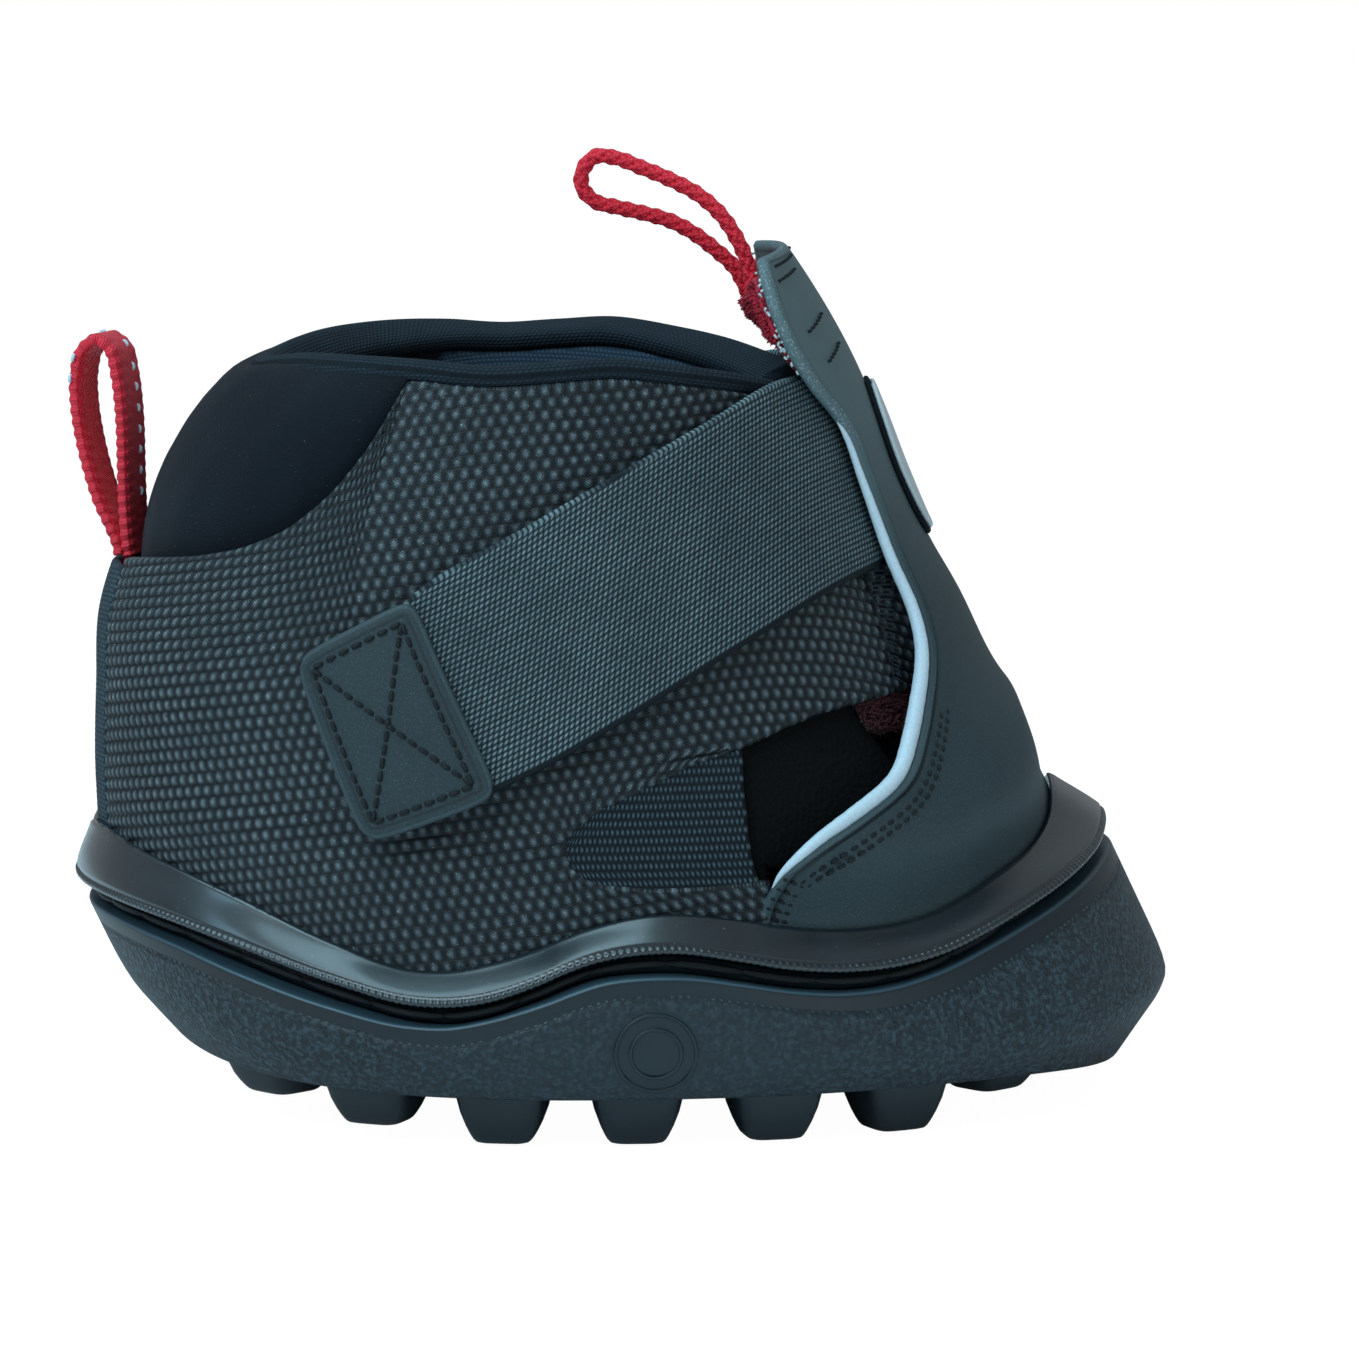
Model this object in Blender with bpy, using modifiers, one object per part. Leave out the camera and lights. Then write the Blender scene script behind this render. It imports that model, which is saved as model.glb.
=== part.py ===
"""Hoof boot for a horse: rubber sole unit, nylon upper, fold-down flap and two peel-off straps.

Metres, +Z up, +X to the toe, -Y to the boot's right side. The origin is on the ground, in the middle of
the centre lug's flat foot. Every upper piece is a sheet laid on the last, the surface of the side panels:
a place on it is a turn (0 at the toe, 0.5 at the right side, 1 at the heel, 1.5 at the left side), a rise
(a share of UPPER_HEIGHT) and a lift (the distance outwards from the last).
"""
import math

import bmesh
import bpy
import numpy as np
from mathutils import Matrix, Vector

# Whole boot
UPPER_HEIGHT = 0.126
TOE_LENGTH = 0.0755
HEEL_LENGTH = 0.0785
HALF_WIDTH = 0.059
SET_BACK = 0.014
SIDE_FULLNESS_SHARES = (0.10, 0.12)
LAYER_GAP = 0.0004
SEAM_GAP = 0.0003
CUT_OVERRUN = 0.004
# Small steps along the turn and the rise, for slopes, and how often a height is corrected on the last
SLOPE_STEP_SHARE = 0.002
EDGE_STEP_SHARE = 0.01
HEIGHT_PASSES = 4

# The last: rise, then front, back, half width and set-back as shares of the four sizes above
LAST_SHARES = (
    (0.095, 1.000, 0.841, 1.000, 0.500),
    (0.159, 0.967, 0.902, 1.000, 0.571),
    (0.222, 0.921, 0.955, 0.986, 0.607),
    (0.286, 0.883, 0.990, 0.973, 0.643),
    (0.357, 0.842, 1.000, 0.954, 0.693),
    (0.476, 0.688, 0.998, 0.915, 0.786),
    (0.571, 0.608, 0.989, 0.878, 0.843),
    (0.627, 0.554, 0.961, 0.858, 0.871),
    (0.706, 0.495, 0.898, 0.825, 0.914),
    (0.790, 0.440, 0.794, 0.780, 0.957),
    (0.849, 0.396, 0.706, 0.749, 0.986),
    (0.889, 0.360, 0.622, 0.729, 1.000),
    (0.944, 0.303, 0.540, 0.695, 1.000),
    (1.000, 0.237, 0.455, 0.661, 1.000),
)

# Sole unit
SOLE_TOE_WALL = 0.0067
SOLE_HEEL_WALL = 0.0021
SOLE_SIDE_WALL = 0.0055
SOLE_TOE_LENGTH = TOE_LENGTH + SOLE_TOE_WALL
SOLE_HEEL_LENGTH = HEEL_LENGTH + SOLE_HEEL_WALL
SOLE_HALF_WIDTH = HALF_WIDTH + SOLE_SIDE_WALL
SOLE_HEIGHT = 0.0365
LUG_HEIGHT = 0.0072
LUG_LENGTH = 0.0138
LUG_DEPTH = 0.0135
LUG_TAPER_SHARE = 0.56
LUG_BEVEL = 0.0012
LUG_SINK = 0.0030
CENTRE_LUG_LENGTH = 0.0160
CENTRE_LUG_WIDTH = 0.0300
CUP_FLOOR = 0.0120
CUP_CLEARANCE = 0.0005
CUP_RINGS = 3
RING_STATIONS = 48
# Outer rings of the sole from the tread to the lip: toe, heel and half width as shares of the sole's
# reaches, then the height as a share of SOLE_HEIGHT at the side, the toe and the heel
SOLE_RING_SHARES = (
    (0.830, 0.740, 0.860, 0.197, 0.197, 0.197),
    (0.925, 0.835, 0.945, 0.197, 0.205, 0.260),
    (0.992, 0.880, 0.985, 0.300, 0.405, 0.370),
    (1.000, 0.930, 1.000, 0.420, 0.485, 0.490),
)
SOLE_LIP_SHARES = (0.892, 0.994, 1.000)
# Turn, then the lip's height, the rand's lower edge and its upper edge as shares of SOLE_HEIGHT
WAVE_SHARES = (
    (0.000, 0.985, 1.080, 1.250),
    (0.040, 0.972, 1.055, 1.205),
    (0.080, 0.940, 1.010, 1.130),
    (0.130, 0.885, 0.950, 1.050),
    (0.172, 0.828, 0.890, 0.995),
    (0.193, 0.797, 0.858, 0.965),
    (0.228, 0.737, 0.797, 0.905),
    (0.272, 0.658, 0.723, 0.848),
    (0.307, 0.617, 0.690, 0.832),
    (0.339, 0.608, 0.685, 0.838),
    (0.369, 0.626, 0.703, 0.862),
    (0.402, 0.664, 0.746, 0.898),
    (0.428, 0.692, 0.775, 0.916),
    (0.450, 0.698, 0.777, 0.910),
    (0.478, 0.682, 0.748, 0.872),
    (0.515, 0.597, 0.657, 0.784),
    (0.552, 0.526, 0.589, 0.722),
    (0.576, 0.498, 0.570, 0.697),
    (0.602, 0.499, 0.572, 0.696),
    (0.657, 0.560, 0.641, 0.784),
    (0.730, 0.662, 0.758, 0.934),
    (0.780, 0.726, 0.815, 1.008),
    (0.839, 0.766, 0.850, 1.065),
    (0.876, 0.778, 0.860, 1.098),
    (0.940, 0.776, 0.862, 1.100),
    (1.000, 0.772, 0.860, 1.060),
)
RAND_THICKNESS = 0.0012
RAND_EDGE = 0.0012
RAND_FLARE_TOE = 0.0064
RAND_FLARE_SIDE = 0.0046
GROOVE_GAP = 0.0007
WELT_DEPTH = 0.0024
THREAD_RADIUS = 0.0006
THREAD_SIDES = 6
INSOLE_THICKNESS = 0.0060
INSOLE_COVER_THICKNESS = 0.0010
INSOLE_BOARD_THICKNESS = 0.0020
INSOLE_EDGE_GAP = 0.0010

# Lugs on the right side, mirrored to the left: turn, foot as a share of LUG_HEIGHT and place as a share of
# the sole's reaches; then the centre lugs along the boot
LUG_SHARES = (
    (0.105, 0.88, 0.790),
    (0.195, 0.55, 0.815),
    (0.283, 0.00, 0.815),
    (0.372, 0.00, 0.815),
    (0.459, 0.00, 0.815),
    (0.551, 0.00, 0.815),
    (0.655, 0.27, 0.815),
    (0.765, 0.60, 0.790),
)
CENTRE_LUG_SHARES = (-0.56, -0.28, 0.0, 0.28, 0.56)

# Layers of the side
PANEL_THICKNESS = 0.0015
FOAM_THICKNESS = 0.0025
LINING_THICKNESS = 0.0010
STAY_THICKNESS = 0.0016
STAY_LIFT = 0.0006
SIDE_FOOT = 0.0140
# Turn of each column of the sheets on the side, from the window's rear edge to the heel stay
REAR_TURN_SHARES = (0.368, 0.405, 0.445, 0.488, 0.530, 0.575, 0.605, 0.631, 0.642, 0.656, 0.690, 0.730,
                    0.780, 0.835, 0.875, 0.908)
LINING_HEEL_TURN_SHARES = (0.950, 0.998)
FRONT_TURN_SHARES = (0.368, 0.330, 0.290, 0.250, 0.215, 0.187, 0.165, 0.146, 0.132)
# Turn and rise of the panel's edges
COLLAR_SHARES = ((0.00, 0.842), (0.13, 0.843), (0.178, 0.851), (0.256, 0.867), (0.32, 0.877), (0.402, 0.887),
                 (0.469, 0.883), (0.537, 0.879), (0.626, 0.885), (0.731, 0.887), (0.88, 0.879),
                 (0.926, 0.872), (1.00, 0.869))
PAD_SEAM_SHARES = ((0.631, 0.851), (0.642, 0.800), (0.656, 0.757), (0.690, 0.698), (0.730, 0.667),
                   (0.780, 0.650), (0.835, 0.641), (0.875, 0.636), (0.908, 0.632), (1.00, 0.628))
PAD_SEAM_TURN_GAP_SHARE = 0.0028
PAD_TURN_SHARES = (0.636, 0.644, 0.658, 0.690, 0.730, 0.780, 0.835, 0.875, 0.908, 0.954, 1.000)
WINDOW_TOP_SHARES = ((0.132, 0.660), (0.146, 0.603), (0.165, 0.549), (0.187, 0.496), (0.231, 0.494),
                     (0.276, 0.488), (0.315, 0.470), (0.357, 0.448), (0.368, 0.448))
MID_RISE_SHARE = 0.448
REAR_LOW_ROWS = 3
REAR_HIGH_ROWS = 5
FOAM_REAR_TURN_SHARE = 0.690
COUNTER_TURN_SHARES = (0.702, 0.750, 0.800, 0.850, 0.900, 0.950, 1.000)
COUNTER_TOP_SHARES = ((0.702, 0.500), (0.80, 0.545), (1.00, 0.575))
COUNTER_ROWS = 5
COUNTER_GAP = 0.0010
COUNTER_THICKNESS = 0.0018
STAY_ROWS = 6
STAY_TURN_SHARES = (0.914, 0.943, 0.971, 1.000)
STAY_TOP_SHARE = 0.618

# Heel collar pad and the binding
PAD_CROWN = 0.0016
PAD_CROWN_POWER = 0.7
PAD_DEPTH = 0.0062
PAD_TUCK = 0.0034
PAD_ROWS = 7
BINDING_HEIGHT = 0.0034
BINDING_OUT = 0.0004
BINDING_IN = 0.0066
BINDING_TURN_SHARE = 0.140
BINDING_STATIONS = 56
BINDING_ROUND_SHARE = 0.30

# Elastic insert, turn and rise of its lower and upper edges
ELASTIC_LOW_SHARES = ((0.368, 0.298), (0.410, 0.294), (0.442, 0.293), (0.474, 0.299), (0.486, 0.309),
                      (0.492, 0.324))
ELASTIC_HIGH_SHARES = ((0.368, 0.443), (0.400, 0.430), (0.430, 0.409), (0.466, 0.384), (0.484, 0.362),
                       (0.492, 0.345))
ELASTIC_TURN_SHARES = (0.369, 0.405, 0.445, 0.474, 0.488)
ELASTIC_THICKNESS = 0.0011
ELASTIC_SINK = 0.0003
ELASTIC_GAP = 0.0004
ELASTIC_ROWS = 4
NOTCH_OVERRUN_TURN_SHARE = 0.020

# Vamp and flap
COVER_THICKNESS = 0.0020
COVER_LIFT = 0.0049
FOLD_RISE_SHARE = 0.525
COVER_RAMP = 0.0120
FLAP_GAP = 0.0005
VAMP_EDGE_SHARES = ((0.160, 0.523), (0.165, 0.523), (0.170, 0.514), (0.196, 0.472), (0.231, 0.429),
                    (0.270, 0.390), (0.313, 0.359), (0.346, 0.332), (0.364, 0.312))
VAMP_TURN_SHARES = (0.0, 0.040, 0.080, 0.120, 0.160, 0.170, 0.196, 0.231, 0.270, 0.313, 0.346, 0.362)
VAMP_LOW_ROWS = 3
VAMP_HIGH_ROWS = 7
VAMP_LINING_THICKNESS = 0.0010
VAMP_LINING_GAP = 0.0013
VAMP_LINING_MARGIN_SHARE = 0.93
FLAP_TOP_SHARE = 0.978
FLAP_CORNER_DROP_SHARE = 0.004
# Rise and turn of the flap's side edge
FLAP_EDGE_SHARES = ((0.525, 0.168), (0.560, 0.161), (0.603, 0.156), (0.650, 0.150), (0.714, 0.150),
                    (0.776, 0.150), (0.800, 0.160), (0.825, 0.176), (0.853, 0.187), (0.887, 0.191),
                    (0.925, 0.185), (0.955, 0.172), (0.980, 0.152), (1.000, 0.132))
FLAP_ROWS = 11
FLAP_COLUMN_SHARES = (0.0, 0.22, 0.44, 0.64, 0.83, 1.0)
PILE_THICKNESS = 0.0020
COVER_WIDTH_SHARES = ((0.525, 1.0), (1.000, 1.0))
PILE_WIDTH_SHARES = ((0.525, 0.60), (0.800, 0.57), (0.862, 0.57), (0.892, 0.93), (1.000, 0.93))
PILE_RISE_SHARES = (0.536, 0.955)
PIPING_GAP = 0.0006
PIPING_LIFT_SINK = 0.0010
# Rise and turn along the cover's edge, and the piping's radius as a share of PIPING_RADIUS
PIPING_RADIUS = 0.0012
FLAP_PIPING_SHARES = ((0.532, 0.90), (0.560, 0.90), (0.603, 0.85), (0.650, 0.80), (0.700, 0.70),
                      (0.740, 0.55), (0.776, 0.45))
VAMP_PIPING_SHARES = ((0.358, 0.40), (0.346, 0.60), (0.313, 0.95), (0.270, 1.10), (0.231, 1.10),
                      (0.196, 1.00), (0.172, 0.92))
BADGE_RISE_SHARES = (0.638, 0.815)
BADGE_TURN_SHARE = 0.056
BADGE_THICKNESS = 0.0004
BADGE_BASE_THICKNESS = 0.0008
BADGE_INSET_SHARE = 0.93
BADGE_ROUND_SHARE = 0.80
BADGE_ROWS = 9
BADGE_COLUMNS = 7

# Straps: turn and rise of the edges, from the flap to the tail under the tab
STRAP_THICKNESS = 0.0016
STRAP_ROOT_LIFT = 0.0024
STRAP_TAIL_LIFT = 0.0038
STRAP_CLIMB_SHARE = 0.50
STRAP_COLUMNS = 14
STRAP_ROWS = 5
STRAP_HIGH_SHARES = ((0.205, 0.8395), (0.328, 0.795), (0.433, 0.736), (0.520, 0.675), (0.574, 0.625),
                     (0.598, 0.590))
STRAP_LOW_SHARES = ((0.166, 0.6290), (0.228, 0.615), (0.343, 0.560), (0.444, 0.483), (0.502, 0.433),
                    (0.556, 0.391))
ROOT_HIGH_SHARES = ((0.118, 0.846), (0.160, 0.843), (0.200, 0.840))
ROOT_LOW_SHARES = ((0.118, 0.634), (0.140, 0.632), (0.161, 0.6295))
TAB_THICKNESS = 0.0012
TAB_LIFT = 0.0054
TAB_HIGH_SHARES = ((0.582, 0.612), (0.625, 0.574), (0.661, 0.542))
TAB_LOW_SHARES = ((0.531, 0.401), (0.575, 0.372), (0.617, 0.347))
TAB_COLUMNS = 5
HOOK_THICKNESS = 0.0006
HOOK_LIFT = 0.0019
HOOK_HIGH_SHARES = ((0.562, 0.588), (0.600, 0.562), (0.640, 0.532))
HOOK_LOW_SHARES = ((0.522, 0.442), (0.568, 0.407), (0.610, 0.377))
LOOP_PATCH_THICKNESS = 0.0006
LOOP_PATCH_LIFT = 0.0010
LOOP_PATCH_HIGH_SHARES = ((0.500, 0.655), (0.580, 0.600), (0.645, 0.540))
LOOP_PATCH_LOW_SHARES = ((0.470, 0.485), (0.545, 0.418), (0.612, 0.368))
PATCH_COLUMNS = 6
PATCH_ROWS = 4

# Heel pull loop: webbing, its centreline in the plane that leans LOOP_TURN round the upright axis
LOOP_WEB_WIDTH = 0.0090
LOOP_WEB_THICKNESS = 0.0016
LOOP_HEIGHT = 0.0335
LOOP_FOOT_RISE_SHARE = 0.6355
LOOP_FOOT_REACH_SHARE = 0.9590
LOOP_TURN = math.radians(16.0)
LOOP_PATH_SHARES = ((-0.029, 0.000), (-0.075, 0.095), (-0.145, 0.200), (-0.200, 0.330), (-0.240, 0.480),
                    (-0.262, 0.640), (-0.262, 0.790), (-0.225, 0.905), (-0.140, 0.965), (-0.050, 0.945),
                    (0.005, 0.860), (0.020, 0.720), (0.022, 0.560), (0.024, 0.400), (0.024, 0.240),
                    (0.026, 0.110), (0.029, 0.000))
LOOP_ANCHOR_RISE_SHARES = (0.583, 0.6325)
LOOP_ANCHOR_TURN_SHARE = 0.022
LOOP_ANCHOR_LIFT = -0.0014
LOOP_ANCHOR_THICKNESS = 0.0012
LOOP_ANCHOR_COLUMNS = 4
LOOP_STATIONS = 30

# Front pull loop: braided cord, a closed loop that stands behind the flap's top. Its points are offsets
# from the middle between its two ends
CORD_RADIUS = 0.0016
CORD_POINTS = (
    (0.0008, -0.0021, 0.0000), (0.0005, -0.0021, 0.0029), (-0.0006, -0.0020, 0.0056), (-0.0024, -0.0018, 0.0090),
    (-0.0044, -0.0016, 0.0121), (-0.0072, -0.0012, 0.0147), (-0.0114, -0.0008, 0.0170),
    (-0.0156, -0.0004, 0.0189), (-0.0192, -0.0001, 0.0203), (-0.0222, 0.0001, 0.0205),
    (-0.0240, 0.0003, 0.0186), (-0.0242, 0.0006, 0.0160), (-0.0224, 0.0009, 0.0137),
    (-0.0189, 0.0012, 0.0123), (-0.0149, 0.0015, 0.0111), (-0.0108, 0.0018, 0.0100),
    (-0.0074, 0.0020, 0.0081), (-0.0042, 0.0021, 0.0055), (-0.0018, 0.0022, 0.0026), (-0.0008, 0.0022, 0.0000),
)
CORD_GAP = 0.0014
# Pocket that holds the cord's ends behind the pile: its foot as a rise, its height, width and depth
CORD_POCKET_RISE_SHARE = 0.8413
CORD_POCKET_HEIGHT = 0.0102
CORD_POCKET_HALF_WIDTH = 0.0062
CORD_POCKET_GAP = 0.0009
CORD_POCKET_DEPTH = 0.0074
CORD_SET_IN = 0.0058
CORD_POCKET_SHARES = ((0.0, 0.20), (0.5, 0.55), (1.0, 1.0))

COLOURS = {
    "sole_rubber": ((0.012, 0.020, 0.027), 0.62, 0.0),
    "rand_rubber": ((0.018, 0.024, 0.028), 0.22, 0.0),
    "welt_thread": ((0.010, 0.012, 0.014), 0.80, 0.0),
    "insole_foam": ((0.030, 0.034, 0.038), 0.90, 0.0),
    "panel_nylon": ((0.040, 0.058, 0.066), 0.58, 0.0),
    "quarter_foam": ((0.040, 0.044, 0.048), 0.95, 0.0),
    "lining_cloth": ((0.008, 0.012, 0.017), 0.85, 0.0),
    "counter_board": ((0.050, 0.045, 0.040), 0.70, 0.0),
    "collar_neoprene": ((0.009, 0.014, 0.020), 0.75, 0.0),
    "binding_knit": ((0.008, 0.011, 0.015), 0.85, 0.0),
    "elastic_knit": ((0.010, 0.014, 0.018), 0.80, 0.0),
    "cover_leather": ((0.027, 0.036, 0.040), 0.50, 0.0),
    "piping_silver": ((0.470, 0.600, 0.670), 0.45, 0.0),
    "pile_red": ((0.330, 0.012, 0.025), 0.95, 0.0),
    "strap_webbing": ((0.024, 0.038, 0.046), 0.70, 0.0),
    "loop_red": ((0.520, 0.012, 0.026), 0.75, 0.0),
    "cord_red": ((0.520, 0.012, 0.026), 0.80, 0.0),
    "stay_tape": ((0.018, 0.024, 0.029), 0.80, 0.0),
    "badge_edge": ((0.012, 0.016, 0.020), 0.60, 0.0),
    "badge_face": ((0.600, 0.640, 0.660), 0.50, 0.0),
}


def clear_scene():
    for item in list(bpy.data.objects):
        bpy.data.objects.remove(item, do_unlink=True)


def new_collection(name):
    collection = bpy.data.collections.new(name)
    bpy.context.scene.collection.children.link(collection)
    return collection


def finish_of(slot):
    material = bpy.data.materials.get(slot)
    if material is None:
        material = bpy.data.materials.new(slot)
        material.use_nodes = True
        shader = material.node_tree.nodes["Principled BSDF"]
        colour, roughness, metallic = COLOURS[slot]
        shader.inputs["Base Color"].default_value = (*colour, 1.0)
        shader.inputs["Roughness"].default_value = roughness
        shader.inputs["Metallic"].default_value = metallic
    return material


def smooth_read(table, column, where):
    """A smooth curve through the table's points: first column to the named column, read at where."""
    xs = np.array([row[0] for row in table])
    ys = np.array([row[column] for row in table])
    step = np.diff(xs)
    slope = np.diff(ys) / step
    tangent = np.empty_like(ys)
    tangent[1:-1] = (slope[:-1] * step[1:] + slope[1:] * step[:-1]) / (step[:-1] + step[1:])
    tangent[0] = slope[0]
    tangent[-1] = slope[-1]
    where = np.clip(np.asarray(where, float), xs[0], xs[-1])
    i = np.clip(np.searchsorted(xs, where) - 1, 0, len(xs) - 2)
    t = (where - xs[i]) / step[i]
    start = (2 * t**3 - 3 * t**2 + 1) * ys[i] + (t**3 - 2 * t**2 + t) * step[i] * tangent[i]
    end = (3 * t**2 - 2 * t**3) * ys[i + 1] + (t**3 - t**2) * step[i] * tangent[i + 1]
    return start + end


def straight_read(table, where):
    """Straight runs between the table's points, for edges with corners."""
    return np.interp(where, [row[0] for row in table], [row[1] for row in table])


def side_turn(turn):
    """The turn folded to the right side, so that tables for one side serve both."""
    folded = np.mod(np.asarray(turn, float), 2.0)
    return np.where(folded > 1.0, 2.0 - folded, folded)


def oval(turn, front, back, half_width, middle):
    """A hoof-shaped section: two half ovals that share their widest place, fuller at the corners."""
    angle = np.pi * np.asarray(turn, float)
    along, across = np.cos(angle), np.sin(angle)
    reach = np.where(along > 0, front - middle, middle - back)
    fullness = np.where(along > 0, SIDE_FULLNESS_SHARES[0], SIDE_FULLNESS_SHARES[1])
    return middle + reach * along, -half_width * across * (1 + fullness * along**2)


def last_surface(turn, rise):
    turn, rise = np.broadcast_arrays(np.asarray(turn, float), np.asarray(rise, float))
    front = smooth_read(LAST_SHARES, 1, rise) * TOE_LENGTH
    back = -smooth_read(LAST_SHARES, 2, rise) * HEEL_LENGTH
    half_width = smooth_read(LAST_SHARES, 3, rise) * HALF_WIDTH
    middle = -smooth_read(LAST_SHARES, 4, rise) * SET_BACK
    x, y = oval(turn, front, back, half_width, middle)
    return np.stack([x, y, rise * UPPER_HEIGHT], axis=-1)


def last_normal(turn, rise):
    """Outward normal of the last, from its slopes along the turn and the rise."""
    step = SLOPE_STEP_SHARE
    inner = np.clip(rise, LAST_SHARES[0][0] + step, LAST_SHARES[-1][0] - step)
    across = last_surface(turn + step, rise) - last_surface(turn - step, rise)
    up = last_surface(turn, inner + step) - last_surface(turn, inner - step)
    normal = np.cross(up, across)
    return normal / np.linalg.norm(normal, axis=-1, keepdims=True)


def on_last(turn, rise, lift=0.0):
    turn, rise, lift = np.broadcast_arrays(*(np.asarray(v, float) for v in (turn, rise, lift)))
    return last_surface(turn, rise) + last_normal(turn, rise) * lift[..., None]


def add_object(name, mesh, slot, collection):
    piece = bpy.data.objects.new(name, mesh)
    mesh.materials.append(finish_of(slot))
    collection.objects.link(piece)
    return piece


def grid_mesh(bm, points):
    """A grid of faces through points, rows first."""
    rows, columns = points.shape[:2]
    made = bmesh.ops.create_grid(bm, x_segments=columns - 1, y_segments=rows - 1)
    for vertex, place in zip(made["verts"], points.reshape(-1, 3)):
        vertex.co = place


def face_outwards(bm):
    """Turns an open sheet so that its faces look away from the boot's middle line."""
    middle = Vector((-SET_BACK / 2, 0, UPPER_HEIGHT / 2))
    outward = sum((f.calc_center_median() - middle).dot(f.normal) * f.calc_area() for f in bm.faces)
    if outward < 0:
        bmesh.ops.reverse_faces(bm, faces=bm.faces[:])


def sheet(name, grids, thickness, slot, collection):
    """A sheet with one wall thickness: grids on its outer face, welded where they meet."""
    bm = bmesh.new()
    for points in grids:
        grid_mesh(bm, points)
    bmesh.ops.remove_doubles(bm, verts=bm.verts[:], dist=SEAM_GAP / 10)
    bmesh.ops.recalc_face_normals(bm, faces=bm.faces[:])
    face_outwards(bm)
    mesh = bpy.data.meshes.new(name)
    bm.to_mesh(mesh)
    bm.free()
    piece = add_object(name, mesh, slot, collection)
    wall = piece.modifiers.new("wall", "SOLIDIFY")
    wall.thickness = thickness
    wall.offset = -1.0
    wall.use_even_offset = True
    return piece


def ring_body(name, rings, slot, collection, closed_section):
    """A body lofted through closed rings. The last ring joins the first, or both ends get a cap."""
    bm = bmesh.new()
    loops = [[bm.verts.new(place) for place in ring] for ring in rings]
    pairs = list(zip(loops, loops[1:]))
    if closed_section:
        pairs.append((loops[-1], loops[0]))
    else:
        bm.faces.new(loops[0][::-1])
        bm.faces.new(loops[-1])
    for low, high in pairs:
        for i, vertex in enumerate(low):
            j = (i + 1) % len(low)
            bm.faces.new((vertex, low[j], high[j], high[i]))
    return finished_body(name, bm, slot, collection)


def rib_body(name, sections, slot, collection):
    """A body lofted through open stations, each a closed section, with a cap at both ends."""
    bm = bmesh.new()
    loops = [[bm.verts.new(place) for place in section] for section in sections]
    for low, high in zip(loops, loops[1:]):
        for i, vertex in enumerate(low):
            j = (i + 1) % len(low)
            bm.faces.new((vertex, low[j], high[j], high[i]))
    bm.faces.new(loops[0][::-1])
    bm.faces.new(loops[-1])
    return finished_body(name, bm, slot, collection)


def finished_body(name, bm, slot, collection):
    bmesh.ops.recalc_face_normals(bm, faces=bm.faces[:])
    mesh = bpy.data.meshes.new(name)
    bm.to_mesh(mesh)
    bm.free()
    return add_object(name, mesh, slot, collection)


def join_solids(target, tool, operation):
    step = target.modifiers.new(operation.lower(), "BOOLEAN")
    step.operation = operation
    step.object = tool
    tool.hide_render = True
    tool.display_type = "WIRE"


def columns_between(turns, low, high, rows):
    """Upright columns at the turns, from the low rises to the high ones."""
    share = np.linspace(0, 1, rows + 1)[:, None]
    rises = low[None, :] + share * (high - low)[None, :]
    return np.broadcast_to(turns[None, :], rises.shape), rises


def band_between(low_table, high_table, columns, rows):
    """A band from one edge to the other; both edges are curves through (turn, rise) points."""
    def along(table):
        points = np.array(table)
        run = np.hypot(np.diff(points[:, 0]) * math.pi * HALF_WIDTH / UPPER_HEIGHT, np.diff(points[:, 1]))
        place = np.concatenate([[0], np.cumsum(run)]) / run.sum()
        path = [(p, *row) for p, row in zip(place, points)]
        share = np.linspace(0, 1, columns + 1)
        return smooth_read(path, 1, share), smooth_read(path, 2, share)
    low_turn, low_rise = along(low_table)
    high_turn, high_rise = along(high_table)
    share = np.linspace(0, 1, rows + 1)[:, None]
    return low_turn + share * (high_turn - low_turn), low_rise + share * (high_rise - low_rise)


def sided(turn, side):
    """The turn on the named side: the tables give the right side."""
    return turn if side == "right" else 2.0 - turn


def wave(turn, column):
    return smooth_read(WAVE_SHARES, column, side_turn(turn)) * SOLE_HEIGHT


def collar_rise(turn):
    return smooth_read(COLLAR_SHARES, 1, side_turn(turn))


def panel_top(turn):
    """Top of the side sheets: the pad's seam at the back, the binding's underside in front."""
    folded = side_turn(turn)
    under_binding = collar_rise(folded) - (BINDING_HEIGHT + LAYER_GAP) / UPPER_HEIGHT
    seam = straight_read(PAD_SEAM_SHARES, folded)
    return np.where(folded > PAD_SEAM_SHARES[0][0], np.minimum(seam, under_binding), under_binding)


def cover_lift(turn, rise):
    """Lift of the vamp: flush under the rand, then out over the hoof wall within the ramp's height."""
    above = rise * UPPER_HEIGHT - wave(turn, 3)
    t = np.clip(above / COVER_RAMP, 0, 1)
    return COVER_LIFT * (3 * t**2 - 2 * t**3)


def ring_turns():
    return np.linspace(0, 2, RING_STATIONS, endpoint=False)


def sole_ring(shares):
    toe, heel, side, side_height, toe_height, heel_height = shares
    turn = ring_turns()
    x, y = oval(turn, toe * SOLE_TOE_LENGTH, -heel * SOLE_HEEL_LENGTH, side * SOLE_HALF_WIDTH, -SET_BACK / 2)
    along = np.cos(np.pi * turn)
    end_height = np.where(along > 0, toe_height, heel_height)
    height = side_height + (end_height - side_height) * along**4
    return np.stack([x, y, height * SOLE_HEIGHT], axis=-1)


def lip_ring():
    toe, heel, side = SOLE_LIP_SHARES
    turn = ring_turns()
    x, y = oval(turn, toe * SOLE_TOE_LENGTH, -heel * SOLE_HEEL_LENGTH, side * SOLE_HALF_WIDTH, -SET_BACK / 2)
    return np.stack([x, y, wave(turn, 1)], axis=-1)


def last_ring(height, lift):
    """A ring at the heights given, where the surface that lies the lift outside the last has them."""
    turn = ring_turns()
    rise = np.asarray(height) / UPPER_HEIGHT
    for _ in range(HEIGHT_PASSES):
        place = on_last(turn, rise, lift)
        rise = rise + (height - place[:, 2]) / UPPER_HEIGHT
    place = on_last(turn, rise, lift)
    place[:, 2] = height
    return place


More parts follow.
